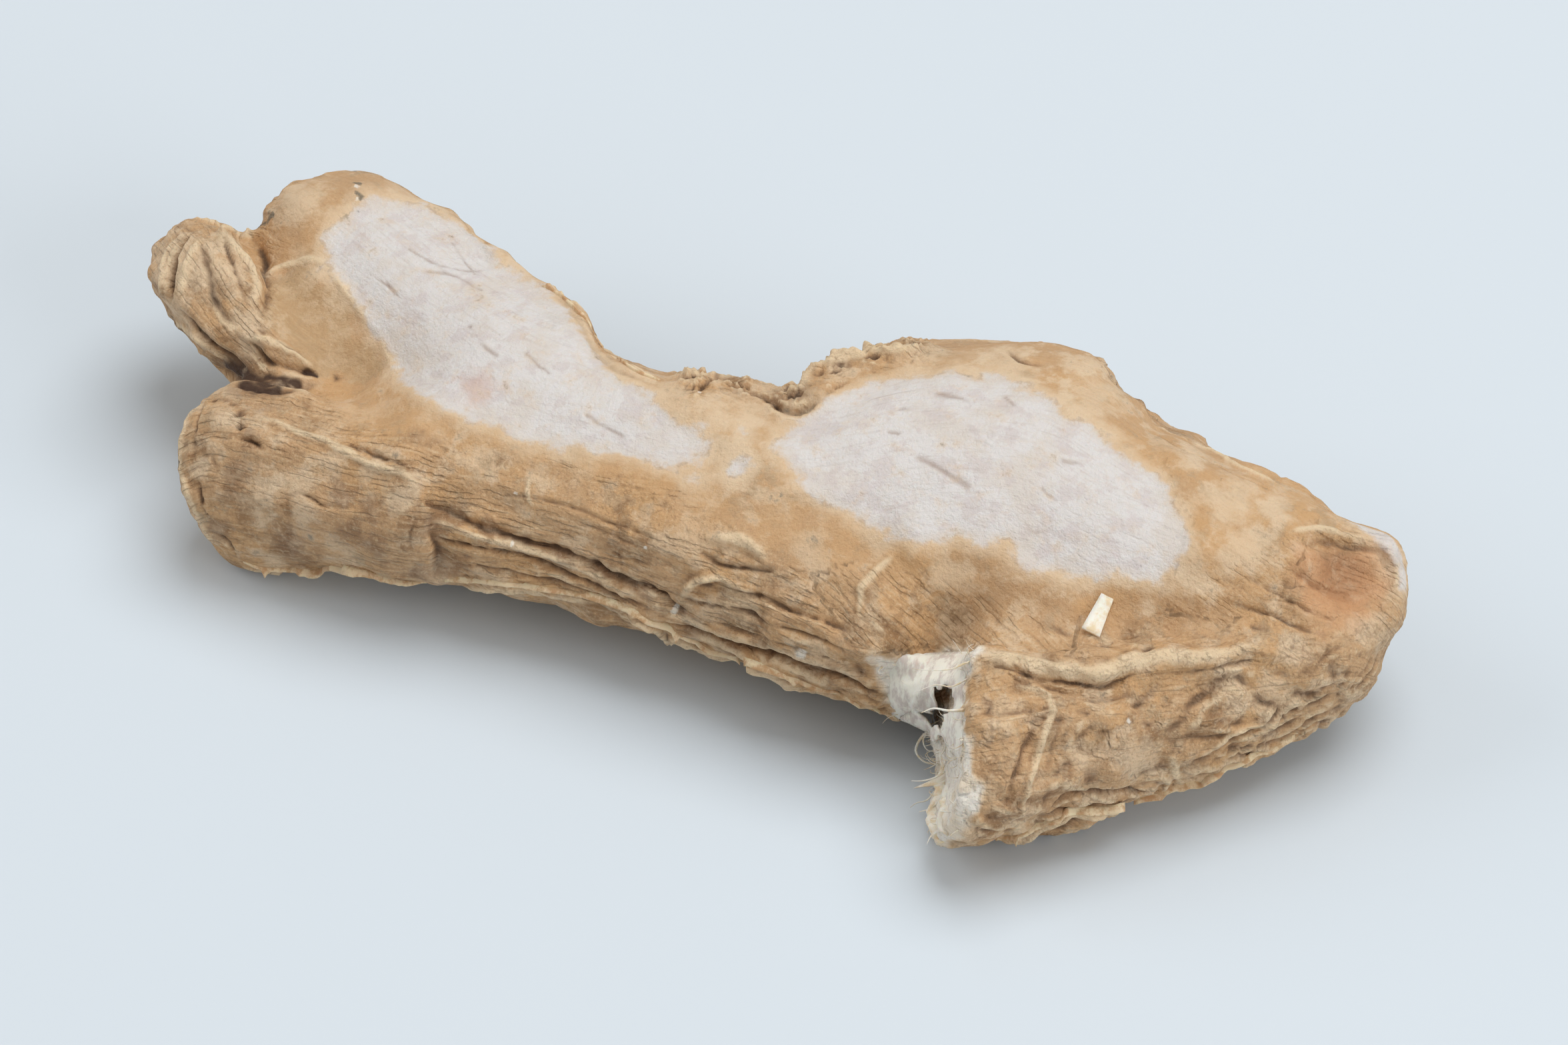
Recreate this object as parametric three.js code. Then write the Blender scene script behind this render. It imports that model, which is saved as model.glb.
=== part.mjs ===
// A piece of dried ginger root: one hand of the rhizome, snapped from a larger one. A thick main axis
// lies along X and swells into a bulge. At the -X end it forks into a back finger and a front finger,
// with a rolled bud wedged between their heads. Along the -Y side lies the stump of a third finger,
// broken off so that its torn face looks towards -X. The skin has shrivelled into ridges along every
// limb, except where it was scraped off. Millimetres, +Z up. It stands on z = 0, on three worn flats,
// with the origin under the middle of its bounding box.

import * as THREE from "three";
import { ImprovedNoise } from "three/addons/math/ImprovedNoise.js";

// ---- Driving dimensions -----------------------------------------------------------------------------
const NET_CELL = 1.36; // spacing of the net that the skin is drawn from
const NET_MARGIN = 5; // room left round the limbs for relief
const NET_PULLS = 3; // times that each net corner is pulled onto the skin
const NET_INSET = 0.06; // share of a cell that its corner keeps from the cell's own sides
const PINCH_FILL = 0.05; // depth given to a corner of the net that is filled to keep it from pinching
const SPINE_STEPS = 22; // straight steps that each limb's spine is measured along
const FOLD_STEP = 1.5; // distance between the points that a fold is laid down by
const WRINKLE_HEIGHT = 0.85; // shrivel ridges that run along every limb
const WRINKLE_LENGTH = 21; // distance over which one ridge fades into the next
const WRINKLE_WIDTH = 3.9; // distance from one ridge to its neighbour
const LUMP_HEIGHT = 0.5; // slow swellings under the ridges
const LUMP_LENGTH = 9;
const RING_HEIGHT = 0.6; // scars where scale leaves sat round a limb
const RING_WIDTH = 1.2;
const SCRAPE_DEPTH = 0.3; // skin lost where the piece was scraped
const SCRAPE_EDGE = 1.2; // width of the step at a scraped patch's edge

// ---- Limbs: spine stations are [x, y, z, half width, half height] -----------------------------------
const LIMBS = {
  mainAxis: {
    stations: [
      [-18, 2, 8.2, 8, 6.4],
      [-9.5, 0.4, 8.4, 7.8, 6.8],
      [-2, -0.4, 8.8, 7.6, 7.2],
      [5, 0.3, 9.3, 9.2, 7.8],
      [12, 3, 9.7, 12.2, 8.3],
      [20, 4, 9.7, 12.8, 8.7],
      [27, 1.6, 9.5, 10.6, 8],
      [34.5, 1, 9, 7.8, 6.8],
      [41.5, 2, 8.6, 5, 5.2],
    ],
    startCap: 6,
    endCap: 3.5,
    rings: [30, 57],
  },
  backFinger: {
    stations: [
      [-33.8, 18, 8.4, 5.6, 5.4],
      [-30, 15, 8.6, 6.9, 6],
      [-23.7, 10.2, 8.8, 7, 6.4],
      [-15.6, 5.2, 9, 6.6, 6.6],
      [-7, 2.2, 8.8, 6.2, 6.4],
    ],
    startCap: 4.6,
    endCap: 5,
    rings: [7, 22],
  },
  frontFinger: {
    stations: [
      [-33.8, -2.3, 6.3, 6.2, 6.2],
      [-30.2, -2.7, 6.5, 6.2, 6.2],
      [-25, -3.3, 7.1, 5.9, 5.6],
      [-15.7, -3.3, 7.9, 5.3, 5.1],
      [-6.2, -4.5, 8.3, 5, 4.8],
      [3.8, -6.4, 8.1, 5, 4.8],
      [11.8, -8.4, 7.6, 4.9, 4.8],
    ],
    startCap: 4.2,
    endCap: 4,
    rings: [12, 31],
  },
  bud: {
    stations: [
      [-42.4, 13.8, 9.2, 2.9, 3.2],
      [-40.2, 10.9, 9.6, 3.5, 3.8],
      [-36.9, 7.2, 9.3, 3.8, 4],
      [-32.5, 4.6, 8.5, 3.2, 3.4],
    ],
    startCap: 2.4,
    endCap: 3,
    rings: [],
  },
  snappedFinger: {
    stations: [
      [14.8, -17.1, 6.4, 8.2, 6.8],
      [20.8, -13.4, 6.5, 7.6, 6.7],
      [27, -9.9, 6.4, 6.6, 6.3],
      [33.8, -5.9, 6.4, 5.8, 5.8],
      [39.8, -1.9, 6.9, 4.6, 5.2],
    ],
    startCap: 6,
    endCap: 4,
    rings: [13],
  },
};

// Where the third finger snapped: everything on the -X side of this plane is gone.
const SNAP_POINT = new THREE.Vector3(18.6, -22, 1.5);
const SNAP_NORMAL = new THREE.Vector3(-0.95, -0.26, 0.24).normalize();

// ---- Folds: lines given near the skin and let down onto it; one with a height below zero is a groove 
const FOLDS = {
  snappedLip: {
    line: [[19.5, -13.5, 13.5], [23.5, -13, 13], [28, -11.5, 12], [34.5, -8, 11.5], [37.5, -6, 11.5]],
    width: 1.5,
    height: 1.1,
  },
  grooveUnderLip: {
    line: [[20.5, -15.5, 12.5], [24, -15, 12.5], [28.5, -13.5, 11.5], [34.5, -10, 10.5], [38, -7.5, 10]],
    width: 1.2,
    height: -0.9,
  },
  valleyBesideBulge: {
    line: [[16, -11.5, 12.5], [23, -11.5, 13.5], [28, -9.5, 12.5], [34, -6.5, 12], [38, -4.5, 12]],
    width: 1.9,
    height: -1.2,
  },
  upperGroove: {
    line: [[-18.5, -7.5, 11], [-14, -8, 11.5], [-7.5, -10, 11], [-2.5, -10.5, 10.5], [4, -11, 10.5]],
    width: 1,
    height: -1.3,
  },
  lowerGroove: {
    line: [[-14, -9.5, 9], [-6, -11, 9], [3, -12, 8.5], [6.5, -13, 9], [13.5, -14, 8.5]],
    width: 0.9,
    height: -1.2,
  },
  headNode: {
    line: [[-22, -4, 13.5], [-20.5, -8, 11], [-20, -9, 8.5], [-19, -9, 5]],
    width: 1.2,
    height: 0.8,
  },
  headGroove: {
    line: [[-20, -5, 13], [-18.5, -8.5, 10.5], [-18, -9, 7]],
    width: 0.9,
    height: -0.9,
  },
  headRidge: {
    line: [[-33.5, -4.5, 12], [-28.5, -5, 12.5], [-21.5, -6, 12.5]],
    width: 1,
    height: 0.6,
  },
  headRim: {
    line: [[-37, 1, 10.5], [-38.5, -4, 9.5], [-37.5, -7.5, 6.5], [-35, -9, 3]],
    width: 0.9,
    height: 0.6,
  },
  forkNotch: {
    line: [[-38, 4, 8], [-35.5, 2.5, 10], [-32.5, 1, 11], [-29, 1.5, 11.5]],
    width: 1.3,
    height: -2,
  },
  budCrease: {
    line: [[-40.5, 15, 11], [-37, 10.5, 12], [-33.5, 6.5, 11.5], [-30, 4, 11]],
    width: 1,
    height: -1.3,
  },
  budRoll: {
    line: [[-43.5, 11.5, 11.5], [-41, 8.5, 12.5], [-37.5, 5.5, 12]],
    width: 0.8,
    height: -0.8,
  },
  tornBackRidge: {
    line: [[-3.5, 3, 16.5], [-1, 4.5, 16], [3.5, 4, 16.5], [5, 7, 16], [8.5, 10, 16]],
    width: 1.8,
    height: 1,
  },
  dipBesideRidge: {
    line: [[0, 1.5, 16.5], [4, 1, 17], [7, 5, 17], [10, 8.5, 17]],
    width: 1.1,
    height: -0.7,
  },
  backFlap: {
    line: [[-16.5, 12.5, 14], [-13, 8.5, 16], [-10, 5.5, 16.5], [-5.5, 3, 16.5]],
    width: 1.1,
    height: 0.9,
  },
  socketRim: {
    line: [[36.5, 1, 15], [41, 3.5, 14], [45, 3, 12.5], [45.5, 0.5, 10.5]],
    width: 1.1,
    height: 0.9,
  },
  snappedRib: {
    line: [[22, -18, 12], [23, -20, 9], [22, -21.5, 5]],
    width: 1,
    height: 0.8,
  },
};

// Patches scraped with a knife, where the skin and its ridges are gone: lines of [x, y, z, radius].
const SCRAPES = [
  [[-28.5, 13, 14.5, 4.6], [-23, 8, 15.5, 5.6], [-16, 2.5, 16, 5], [-9, -1, 16, 3.6], [-2, -2, 15, 1.4]],
  [[6, 1.5, 17, 3], [11, 2.5, 17.5, 6], [17, 2, 18, 8], [22, 0.5, 17.5, 7], [27.5, -3, 16, 3.6]],
];

// Hollows with rounded brims: the socket at the +X end, and the scars where fingers broke from the -X heads.
const HOLLOWS = [
  { middle: [44.5, -1.5, 15.5], radius: 4.6 },
  { middle: [-43.5, -3.5, 6], radius: 5.6 },
  { middle: [-41.5, 24, 10], radius: 5.4 },
];

// Knuckles that it stands on, each [x, y]: spheres that reach a little below the table and are worn off.
const FEET = [[-32, -2.5], [24, -14], [17, 10]];
const FOOT_RADIUS = 4.4;
const FOOT_DEPTH = 0.6;
const FOOT_BLEND = 2.5;

// Nubs of cut roots on the underside and the back.
const ROOT_NUBS = [
  [-26, 2, 1.5], [-16, 12.5, 7], [-9, 6, 1.6], [2, 9.5, 6.5], [6, -3, 1.2], [14, 14.5, 8],
  [24, 12, 3.5], [31, -1, 1.5], [28, -14.5, 3.5], [-8, -8.5, 4], [38, 6, 6],
];
const NUB_RADIUS = 1.5;
const NUB_HEIGHT = 1;

// ---- Small sums -------------------------------------------------------------------------------------
const noise = new ImprovedNoise();
const mix = (a, b, t) => a + (b - a) * t;
const clamp = (x, low, high) => Math.min(high, Math.max(low, x));
const bump = (x, width) => Math.exp(-((x / width) ** 2));
const toVector = ([x, y, z]) => new THREE.Vector3(x, y, z);

function smoothMin(a, b, reach) {
  const h = Math.max(reach - Math.abs(a - b), 0) / reach;
  return Math.min(a, b) - (h * h * reach) / 4;
}
const smoothMax = (a, b, reach) => -smoothMin(-a, -b, reach);

// How a field changes round a point, and the field's zero level reached from that point by one step.
const SLOPE_REACH = 0.06;
function slopeAt(field, p) {
  const slope = new THREE.Vector3();
  const beside = new THREE.Vector3();
  for (let axis = 0; axis < 3; axis++) {
    const here = p.getComponent(axis);
    const ahead = field(beside.copy(p).setComponent(axis, here + SLOPE_REACH));
    const behind = field(beside.copy(p).setComponent(axis, here - SLOPE_REACH));
    slope.setComponent(axis, (ahead - behind) / (2 * SLOPE_REACH));
  }
  return slope;
}
function pullOnto(field, p, longest) {
  const slope = slopeAt(field, p);
  const steepness = Math.max(slope.length(), 0.3);
  const travel = clamp(-field(p) / steepness, -longest, longest);
  return p.addScaledVector(slope, travel / steepness);
}

// ---- The smooth limbs -------------------------------------------------------------------------------
// A limb measured along its spine: where each step starts and how thick the limb is there.
function measured({ stations, startCap, endCap, rings }, index) {
  const spine = new THREE.CatmullRomCurve3(stations.map(toVector), false, "centripetal");
  const girth = new THREE.SplineCurve(
    stations.map((station) => new THREE.Vector2(station[3], station[4])),
  );
  const steps = [];
  let along = 0;
  for (let i = 0; i <= SPINE_STEPS; i++) {
    const at = spine.getPoint(i / SPINE_STEPS);
    const half = girth.getPoint(i / SPINE_STEPS);
    const previous = steps[i - 1];
    if (previous) along += previous.at.distanceTo(at);
    steps.push({ at, width: half.x, height: half.y, along });
  }
  return { steps, startCap, endCap, rings, seed: 7.3 * index };
}

const limbs = Object.fromEntries(
  Object.entries(LIMBS).map(([name, limb], index) => [name, measured(limb, index)]),
);

// Distance from a point to a limb's skin, below zero inside, with a share of the limb's own relief.
const tangent = new THREE.Vector3();
const side = new THREE.Vector3();
const up = new THREE.Vector3();
const offset = new THREE.Vector3();
const UPWARDS = new THREE.Vector3(0, 0, 1);
function limbDistance(limb, p, share) {
  let nearest = Infinity;
  let step = 0;
  let portion = 0;
  for (let i = 0; i < SPINE_STEPS; i++) {
    const start = limb.steps[i].at;
    tangent.subVectors(limb.steps[i + 1].at, start);
    const t = clamp(offset.subVectors(p, start).dot(tangent) / tangent.lengthSq(), 0, 1);
    const gap = offset.addScaledVector(tangent, -t).lengthSq();
    if (gap < nearest) [nearest, step, portion] = [gap, i, t];
  }
  const from = limb.steps[step];
  const to = limb.steps[step + 1];
  const halfWidth = mix(from.width, to.width, portion);
  const halfHeight = mix(from.height, to.height, portion);
  tangent.subVectors(to.at, from.at).normalize();
  side.crossVectors(UPWARDS, tangent).normalize();
  up.crossVectors(tangent, side);
  offset.copy(p).sub(from.at);
  const run = offset.dot(tangent);
  const past = run < 0 && step === 0 ? run : Math.max(run - (to.along - from.along), 0);
  const cap = past < 0 ? limb.startCap : limb.endCap;
  const u = offset.dot(side);
  const v = offset.dot(up);
  const reach = Math.max(Math.hypot(past / cap, u / halfWidth, v / halfHeight), 1e-6);
  const slope = Math.hypot(past / cap ** 2, u / halfWidth ** 2, v / halfHeight ** 2);
  const smooth = (reach * (reach - 1)) / slope;
  if (!share) return smooth;
  return smooth - share * relief(limb, mix(from.along, to.along, portion) + past, u / reach, v / reach);
}

// Height of the skin over the smooth limb: shrivel ridges with sharp valleys, slow lumps and ring scars.
function relief(limb, along, u, v) {
  const seed = limb.seed;
  const [across, deep] = [u / WRINKLE_WIDTH, v / WRINKLE_WIDTH + seed];
  const ridge = Math.abs(noise.noise(along / WRINKLE_LENGTH + seed, across, deep));
  const lump = noise.noise(along / LUMP_LENGTH + seed, u / LUMP_LENGTH, v / LUMP_LENGTH);
  let height = WRINKLE_HEIGHT * (2 * ridge - 0.5) + LUMP_HEIGHT * lump;
  for (const ring of limb.rings) {
    const waver = 1.6 * noise.noise(u / 5, v / 5, ring);
    height += RING_HEIGHT * bump(along - ring - waver, RING_WIDTH);
  }
  return height;
}

function joinedLimbs(p, share) {
  let snapped = limbDistance(limbs.snappedFinger, p, share);
  snapped = smoothMax(snapped, offset.copy(p).sub(SNAP_POINT).dot(SNAP_NORMAL), 0.7);
  let body = limbDistance(limbs.mainAxis, p, share);
  body = smoothMin(body, limbDistance(limbs.backFinger, p, share), 5);
  body = smoothMin(body, limbDistance(limbs.frontFinger, p, share), 3.4);
  body = smoothMin(body, snapped, 1.8);
  return smoothMin(body, limbDistance(limbs.bud, p, share), 3);
}

// ---- What is laid on the limbs ----------------------------------------------------------------------
// Gap from a point to a line of points, less the line's radius there.
function lineGap(line, p) {
  let nearest = Infinity;
  for (let i = 0; i + 1 < line.length; i++) {
    const start = line[i].at;
    tangent.subVectors(line[i + 1].at, start);
    const t = clamp(offset.subVectors(p, start).dot(tangent) / tangent.lengthSq(), 0, 1);
    const gap = offset.addScaledVector(tangent, -t).length();
    nearest = Math.min(nearest, gap - mix(line[i].radius, line[i + 1].radius, t));
  }
  return nearest;
}

const settled = (at) => {
  for (let i = 0; i < 5; i++) pullOnto((p) => joinedLimbs(p, 0), at, 2);
  return at;
};
const folds = Object.values(FOLDS).map(({ line, width, height }) => {
  const curve = new THREE.CatmullRomCurve3(line.map(toVector), false, "centripetal");
  const points = curve.getSpacedPoints(Math.ceil(curve.getLength() / FOLD_STEP));
  return { line: points.map((at) => ({ at: settled(at), radius: 0 })), width, height };
});
const scrapes = SCRAPES.map((line) =>
  line.map((station) => ({ at: settled(toVector(station)), radius: station[3] })),
);
const nubs = ROOT_NUBS.map((at) => settled(toVector(at)));
const feet = FEET.map(([x, y]) => new THREE.Vector3(x, y, FOOT_RADIUS - FOOT_DEPTH));
const hollows = HOLLOWS.map(({ middle, radius }) => ({ middle: toVector(middle), radius }));

function skinDistance(p) {
  const smooth = joinedLimbs(p, 0);
  if (Math.abs(smooth) > 4.5) return smooth;
  let scraped = 0;
  for (const scrape of scrapes)
    scraped = Math.max(scraped, clamp(0.5 - lineGap(scrape, p) / SCRAPE_EDGE, 0, 1));
  let skin = joinedLimbs(p, 1 - scraped) + scraped * SCRAPE_DEPTH;
  for (const fold of folds) skin -= fold.height * bump(lineGap(fold.line, p), fold.width);
  for (const nub of nubs) skin -= NUB_HEIGHT * bump(nub.distanceTo(p), NUB_RADIUS);
  for (const foot of feet) skin = smoothMin(skin, foot.distanceTo(p) - FOOT_RADIUS, FOOT_BLEND);
  for (const { middle, radius } of hollows) skin = smoothMax(skin, radius - middle.distanceTo(p), 0.8);
  return skin;
}

// The piece as it stands, its lowest places worn flat on the table.
const standingSkin = (p) => Math.max(skinDistance(p), -p.z);

// ---- Skin: a net of quads drawn where the distance changes sign -------------------------------------
// A face of a cell with only two opposite corners inside would pinch the net: the shallower of its outer
// corners is filled.
function fillPinches(values, strides) {
  for (let filled = true; filled; ) {
    filled = false;
    for (let n = 0; n + strides[0] + strides[1] + strides[2] < values.length; n++)
      for (let axis = 0; axis < 3; axis++) {
        const [b, c] = [strides[(axis + 1) % 3], strides[(axis + 2) % 3]];
        const face = [n, n + b, n + b + c, n + c];
        const inside = face.map((at) => values[at] < 0);
        if (inside[0] !== inside[2] || inside[1] !== inside[3] || inside[0] === inside[1]) continue;
        const outer = face.filter((at) => values[at] >= 0);
        values[values[outer[0]] < values[outer[1]] ? outer[0] : outer[1]] = -PINCH_FILL;
        filled = true;
      }
  }
}

function drawNet(distance, box, cell) {
  const size = box.getSize(new THREE.Vector3()).divideScalar(cell).ceil();
  const [nx, ny, nz] = [size.x + 1, size.y + 1, size.z + 1];
  const strides = [1, nx, nx * ny];
  const values = new Float32Array(nx * ny * nz);
  const p = new THREE.Vector3();
  for (let n = 0; n < values.length; n++) {
    p.set(n % nx, Math.floor(n / nx) % ny, Math.floor(n / (nx * ny)));
    values[n] = distance(p.multiplyScalar(cell).add(box.min));
  }
  fillPinches(values, strides);

  const vertexOf = new Map();
  const vertices = [];
  const corner = new THREE.Vector3();
  for (let k = 0; k + 1 < nz; k++)
    for (let j = 0; j + 1 < ny; j++)
      for (let i = 0; i + 1 < nx; i++) {
        const n = i + j * nx + k * nx * ny;
        const middle = new THREE.Vector3();
        let crossings = 0;
        for (let axis = 0; axis < 3; axis++)
          for (let edge = 0; edge < 4; edge++) {
            const [b, c] = [(axis + 1) % 3, (axis + 2) % 3];
            const start = n + (edge & 1) * strides[b] + (edge >> 1) * strides[c];
            const [v0, v1] = [values[start], values[start + strides[axis]]];
            if (v0 < 0 === v1 < 0) continue;
            corner.set(i, j, k);
            corner.setComponent(b, corner.getComponent(b) + (edge & 1));
            corner.setComponent(c, corner.getComponent(c) + (edge >> 1));
            corner.setComponent(axis, corner.getComponent(axis) + v0 / (v0 - v1));
            middle.add(corner);
            crossings++;
          }
        if (!crossings) continue;
        vertexOf.set(n, vertices.length);
        vertices.push(middle.divideScalar(crossings).multiplyScalar(cell).add(box.min));
        const low = corner.set(i, j, k).addScalar(NET_INSET).multiplyScalar(cell).add(box.min);
        const high = low.clone().addScalar((1 - 2 * NET_INSET) * cell);
        for (let pull = 0; pull < NET_PULLS; pull++)
          pullOnto(distance, middle, cell / 4).clamp(low, high);
      }

  const triangles = [];
  for (const n of vertexOf.keys())
    for (let axis = 0; axis < 3; axis++) {
      const [b, c] = [strides[(axis + 1) % 3], strides[(axis + 2) % 3]];
      const inside = values[n] < 0;
      if (inside === values[n + strides[axis]] < 0) continue;
      const quad = [n, n - b, n - b - c, n - c].map((at) => vertexOf.get(at));
      if (!inside) quad.reverse();
      const [q0, q1, q2, q3] = quad;
      const flip = vertices[q0].distanceTo(vertices[q2]) > vertices[q1].distanceTo(vertices[q3]);
      triangles.push(...(flip ? [q1, q2, q3, q1, q3, q0] : [q0, q1, q2, q0, q2, q3]));
    }
  return { vertices, triangles };
}

// ---- Solid ------------------------------------------------------------------------------------------
const room = new THREE.Box3();
for (const limb of Object.values(limbs))
  for (const { at, width, height } of limb.steps) {
    const girth = new THREE.Vector3(width, width, height);
    room.expandByPoint(at.clone().add(girth)).expandByPoint(at.clone().sub(girth));
  }
room.expandByScalar(NET_MARGIN);
room.min.z = -4.5 * NET_CELL; // the table runs through the middle of a layer of cells

const { vertices, triangles } = drawNet(standingSkin, room, NET_CELL);
const geometry = new THREE.BufferGeometry().setFromPoints(vertices).setIndex(triangles);
geometry.computeVertexNormals();

const skin = new THREE.MeshStandardMaterial({ color: 0xb98f62, roughness: 0.85, metalness: 0 });
const rhizome = new THREE.Mesh(geometry, skin);
rhizome.name = "rhizome";

const ginger = new THREE.Group();
ginger.name = "ginger_root";
ginger.add(rhizome);
export default ginger;
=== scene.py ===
"""The looks of a piece of dried ginger root: shrivelled skin, scraped patches, a torn break and its fibres.

Lengths are in millimetres until MM turns them into metres. A feature of the skin is given by (across, up)
points on the plane through AIM that faces the camera, and is laid on the skin along the camera's rays.
"""

import itertools
import math
import random

import bmesh
import bpy
import numpy as np
from mathutils import Matrix, Quaternion, Vector
from mathutils.bvhtree import BVHTree


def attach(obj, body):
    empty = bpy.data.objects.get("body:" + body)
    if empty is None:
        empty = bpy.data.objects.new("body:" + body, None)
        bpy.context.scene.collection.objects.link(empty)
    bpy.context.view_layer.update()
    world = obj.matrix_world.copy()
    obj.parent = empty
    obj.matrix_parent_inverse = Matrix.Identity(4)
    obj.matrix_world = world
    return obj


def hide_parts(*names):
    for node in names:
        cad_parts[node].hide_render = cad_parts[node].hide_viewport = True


MM = 0.001

# ---- Camera ------------------------------------------------------------------------------------------
AIM = Vector((0.8, 8.0, 0.0))
AZIMUTH = math.radians(15)
ELEVATION = math.radians(44)
DISTANCE = 800.0
VIEW_WIDTH = 106.3  # width of the camera's view at AIM
SENSOR_WIDTH = 36.0
NEAR_CLIP = 0.05
FAR_CLIP = 20

BACK = Vector((
    math.sin(AZIMUTH) * math.cos(ELEVATION),
    -math.cos(AZIMUTH) * math.cos(ELEVATION),
    math.sin(ELEVATION),
))
RIGHT = Vector((math.cos(AZIMUTH), math.sin(AZIMUTH), 0.0))
UP = BACK.cross(RIGHT)
EYE = AIM + BACK * DISTANCE

# ---- Limbs, with the stations of the CAD solid: x, y, z, half width, half height ---------------------
LIMBS = {
    "main_axis": {
        "stations": [
            (-18, 2, 8.2, 8, 6.4), (-9.5, 0.4, 8.4, 7.8, 6.8), (-2, -0.4, 8.8, 7.6, 7.2),
            (5, 0.3, 9.3, 9.2, 7.8), (12, 3, 9.7, 12.2, 8.3), (20, 4, 9.7, 12.8, 8.7),
            (27, 1.6, 9.5, 10.6, 8), (34.5, 1, 9, 7.8, 6.8), (41.5, 2, 8.6, 5, 5.2),
        ],
        "caps": (6, 3.5),
        "grain_start": -18,
        "knobby": 0.45,
    },
    "back_finger": {
        "stations": [
            (-33.8, 18, 8.4, 5.6, 5.4), (-30, 15, 8.6, 6.9, 6), (-23.7, 10.2, 8.8, 7, 6.4),
            (-15.6, 5.2, 9, 6.6, 6.6), (-7, 2.2, 8.8, 6.2, 6.4),
        ],
        "caps": (4.6, 5),
        "grain_start": -38,
        "knobby": 0.3,
    },
    "front_finger": {
        "stations": [
            (-33.8, -2.3, 6.3, 6.2, 6.2), (-30.2, -2.7, 6.5, 6.2, 6.2), (-25, -3.3, 7.1, 5.9, 5.6),
            (-15.7, -3.3, 7.9, 5.3, 5.1), (-6.2, -4.5, 8.3, 5, 4.8), (3.8, -6.4, 8.1, 5, 4.8),
            (11.8, -8.4, 7.6, 4.9, 4.8),
        ],
        "caps": (4.2, 4),
        "grain_start": -34,
        "knobby": 0.25,
    },
    "bud": {
        "stations": [
            (-42.4, 13.8, 9.2, 2.9, 3.2), (-40.2, 10.9, 9.6, 3.5, 3.8), (-36.9, 7.2, 9.3, 3.8, 4),
            (-32.5, 4.6, 8.5, 3.2, 3.4),
        ],
        "caps": (2.4, 3),
        "grain_start": -46,
        "knobby": 0.3,
    },
    "snapped_finger": {
        "stations": [
            (14.8, -17.1, 6.4, 8.2, 6.8), (20.8, -13.4, 6.5, 7.6, 6.7), (27, -9.9, 6.4, 6.6, 6.3),
            (33.8, -5.9, 6.4, 5.8, 5.8), (39.8, -1.9, 6.9, 4.6, 5.2),
        ],
        "caps": (6, 4),
        "grain_start": 12,
        "knobby": 0.85,
    },
}
SPINE_STEPS = 6  # steps between two stations
LIMB_BLEND = 1.1  # distance over which the grain of one limb gives way to the next

# The plane that the third finger snapped along.
SNAP_POINT = np.array((18.6, -22.0, 1.5))
SNAP_NORMAL = np.array((-0.95, -0.26, 0.24))
SNAP_NORMAL = SNAP_NORMAL / np.linalg.norm(SNAP_NORMAL)

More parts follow.
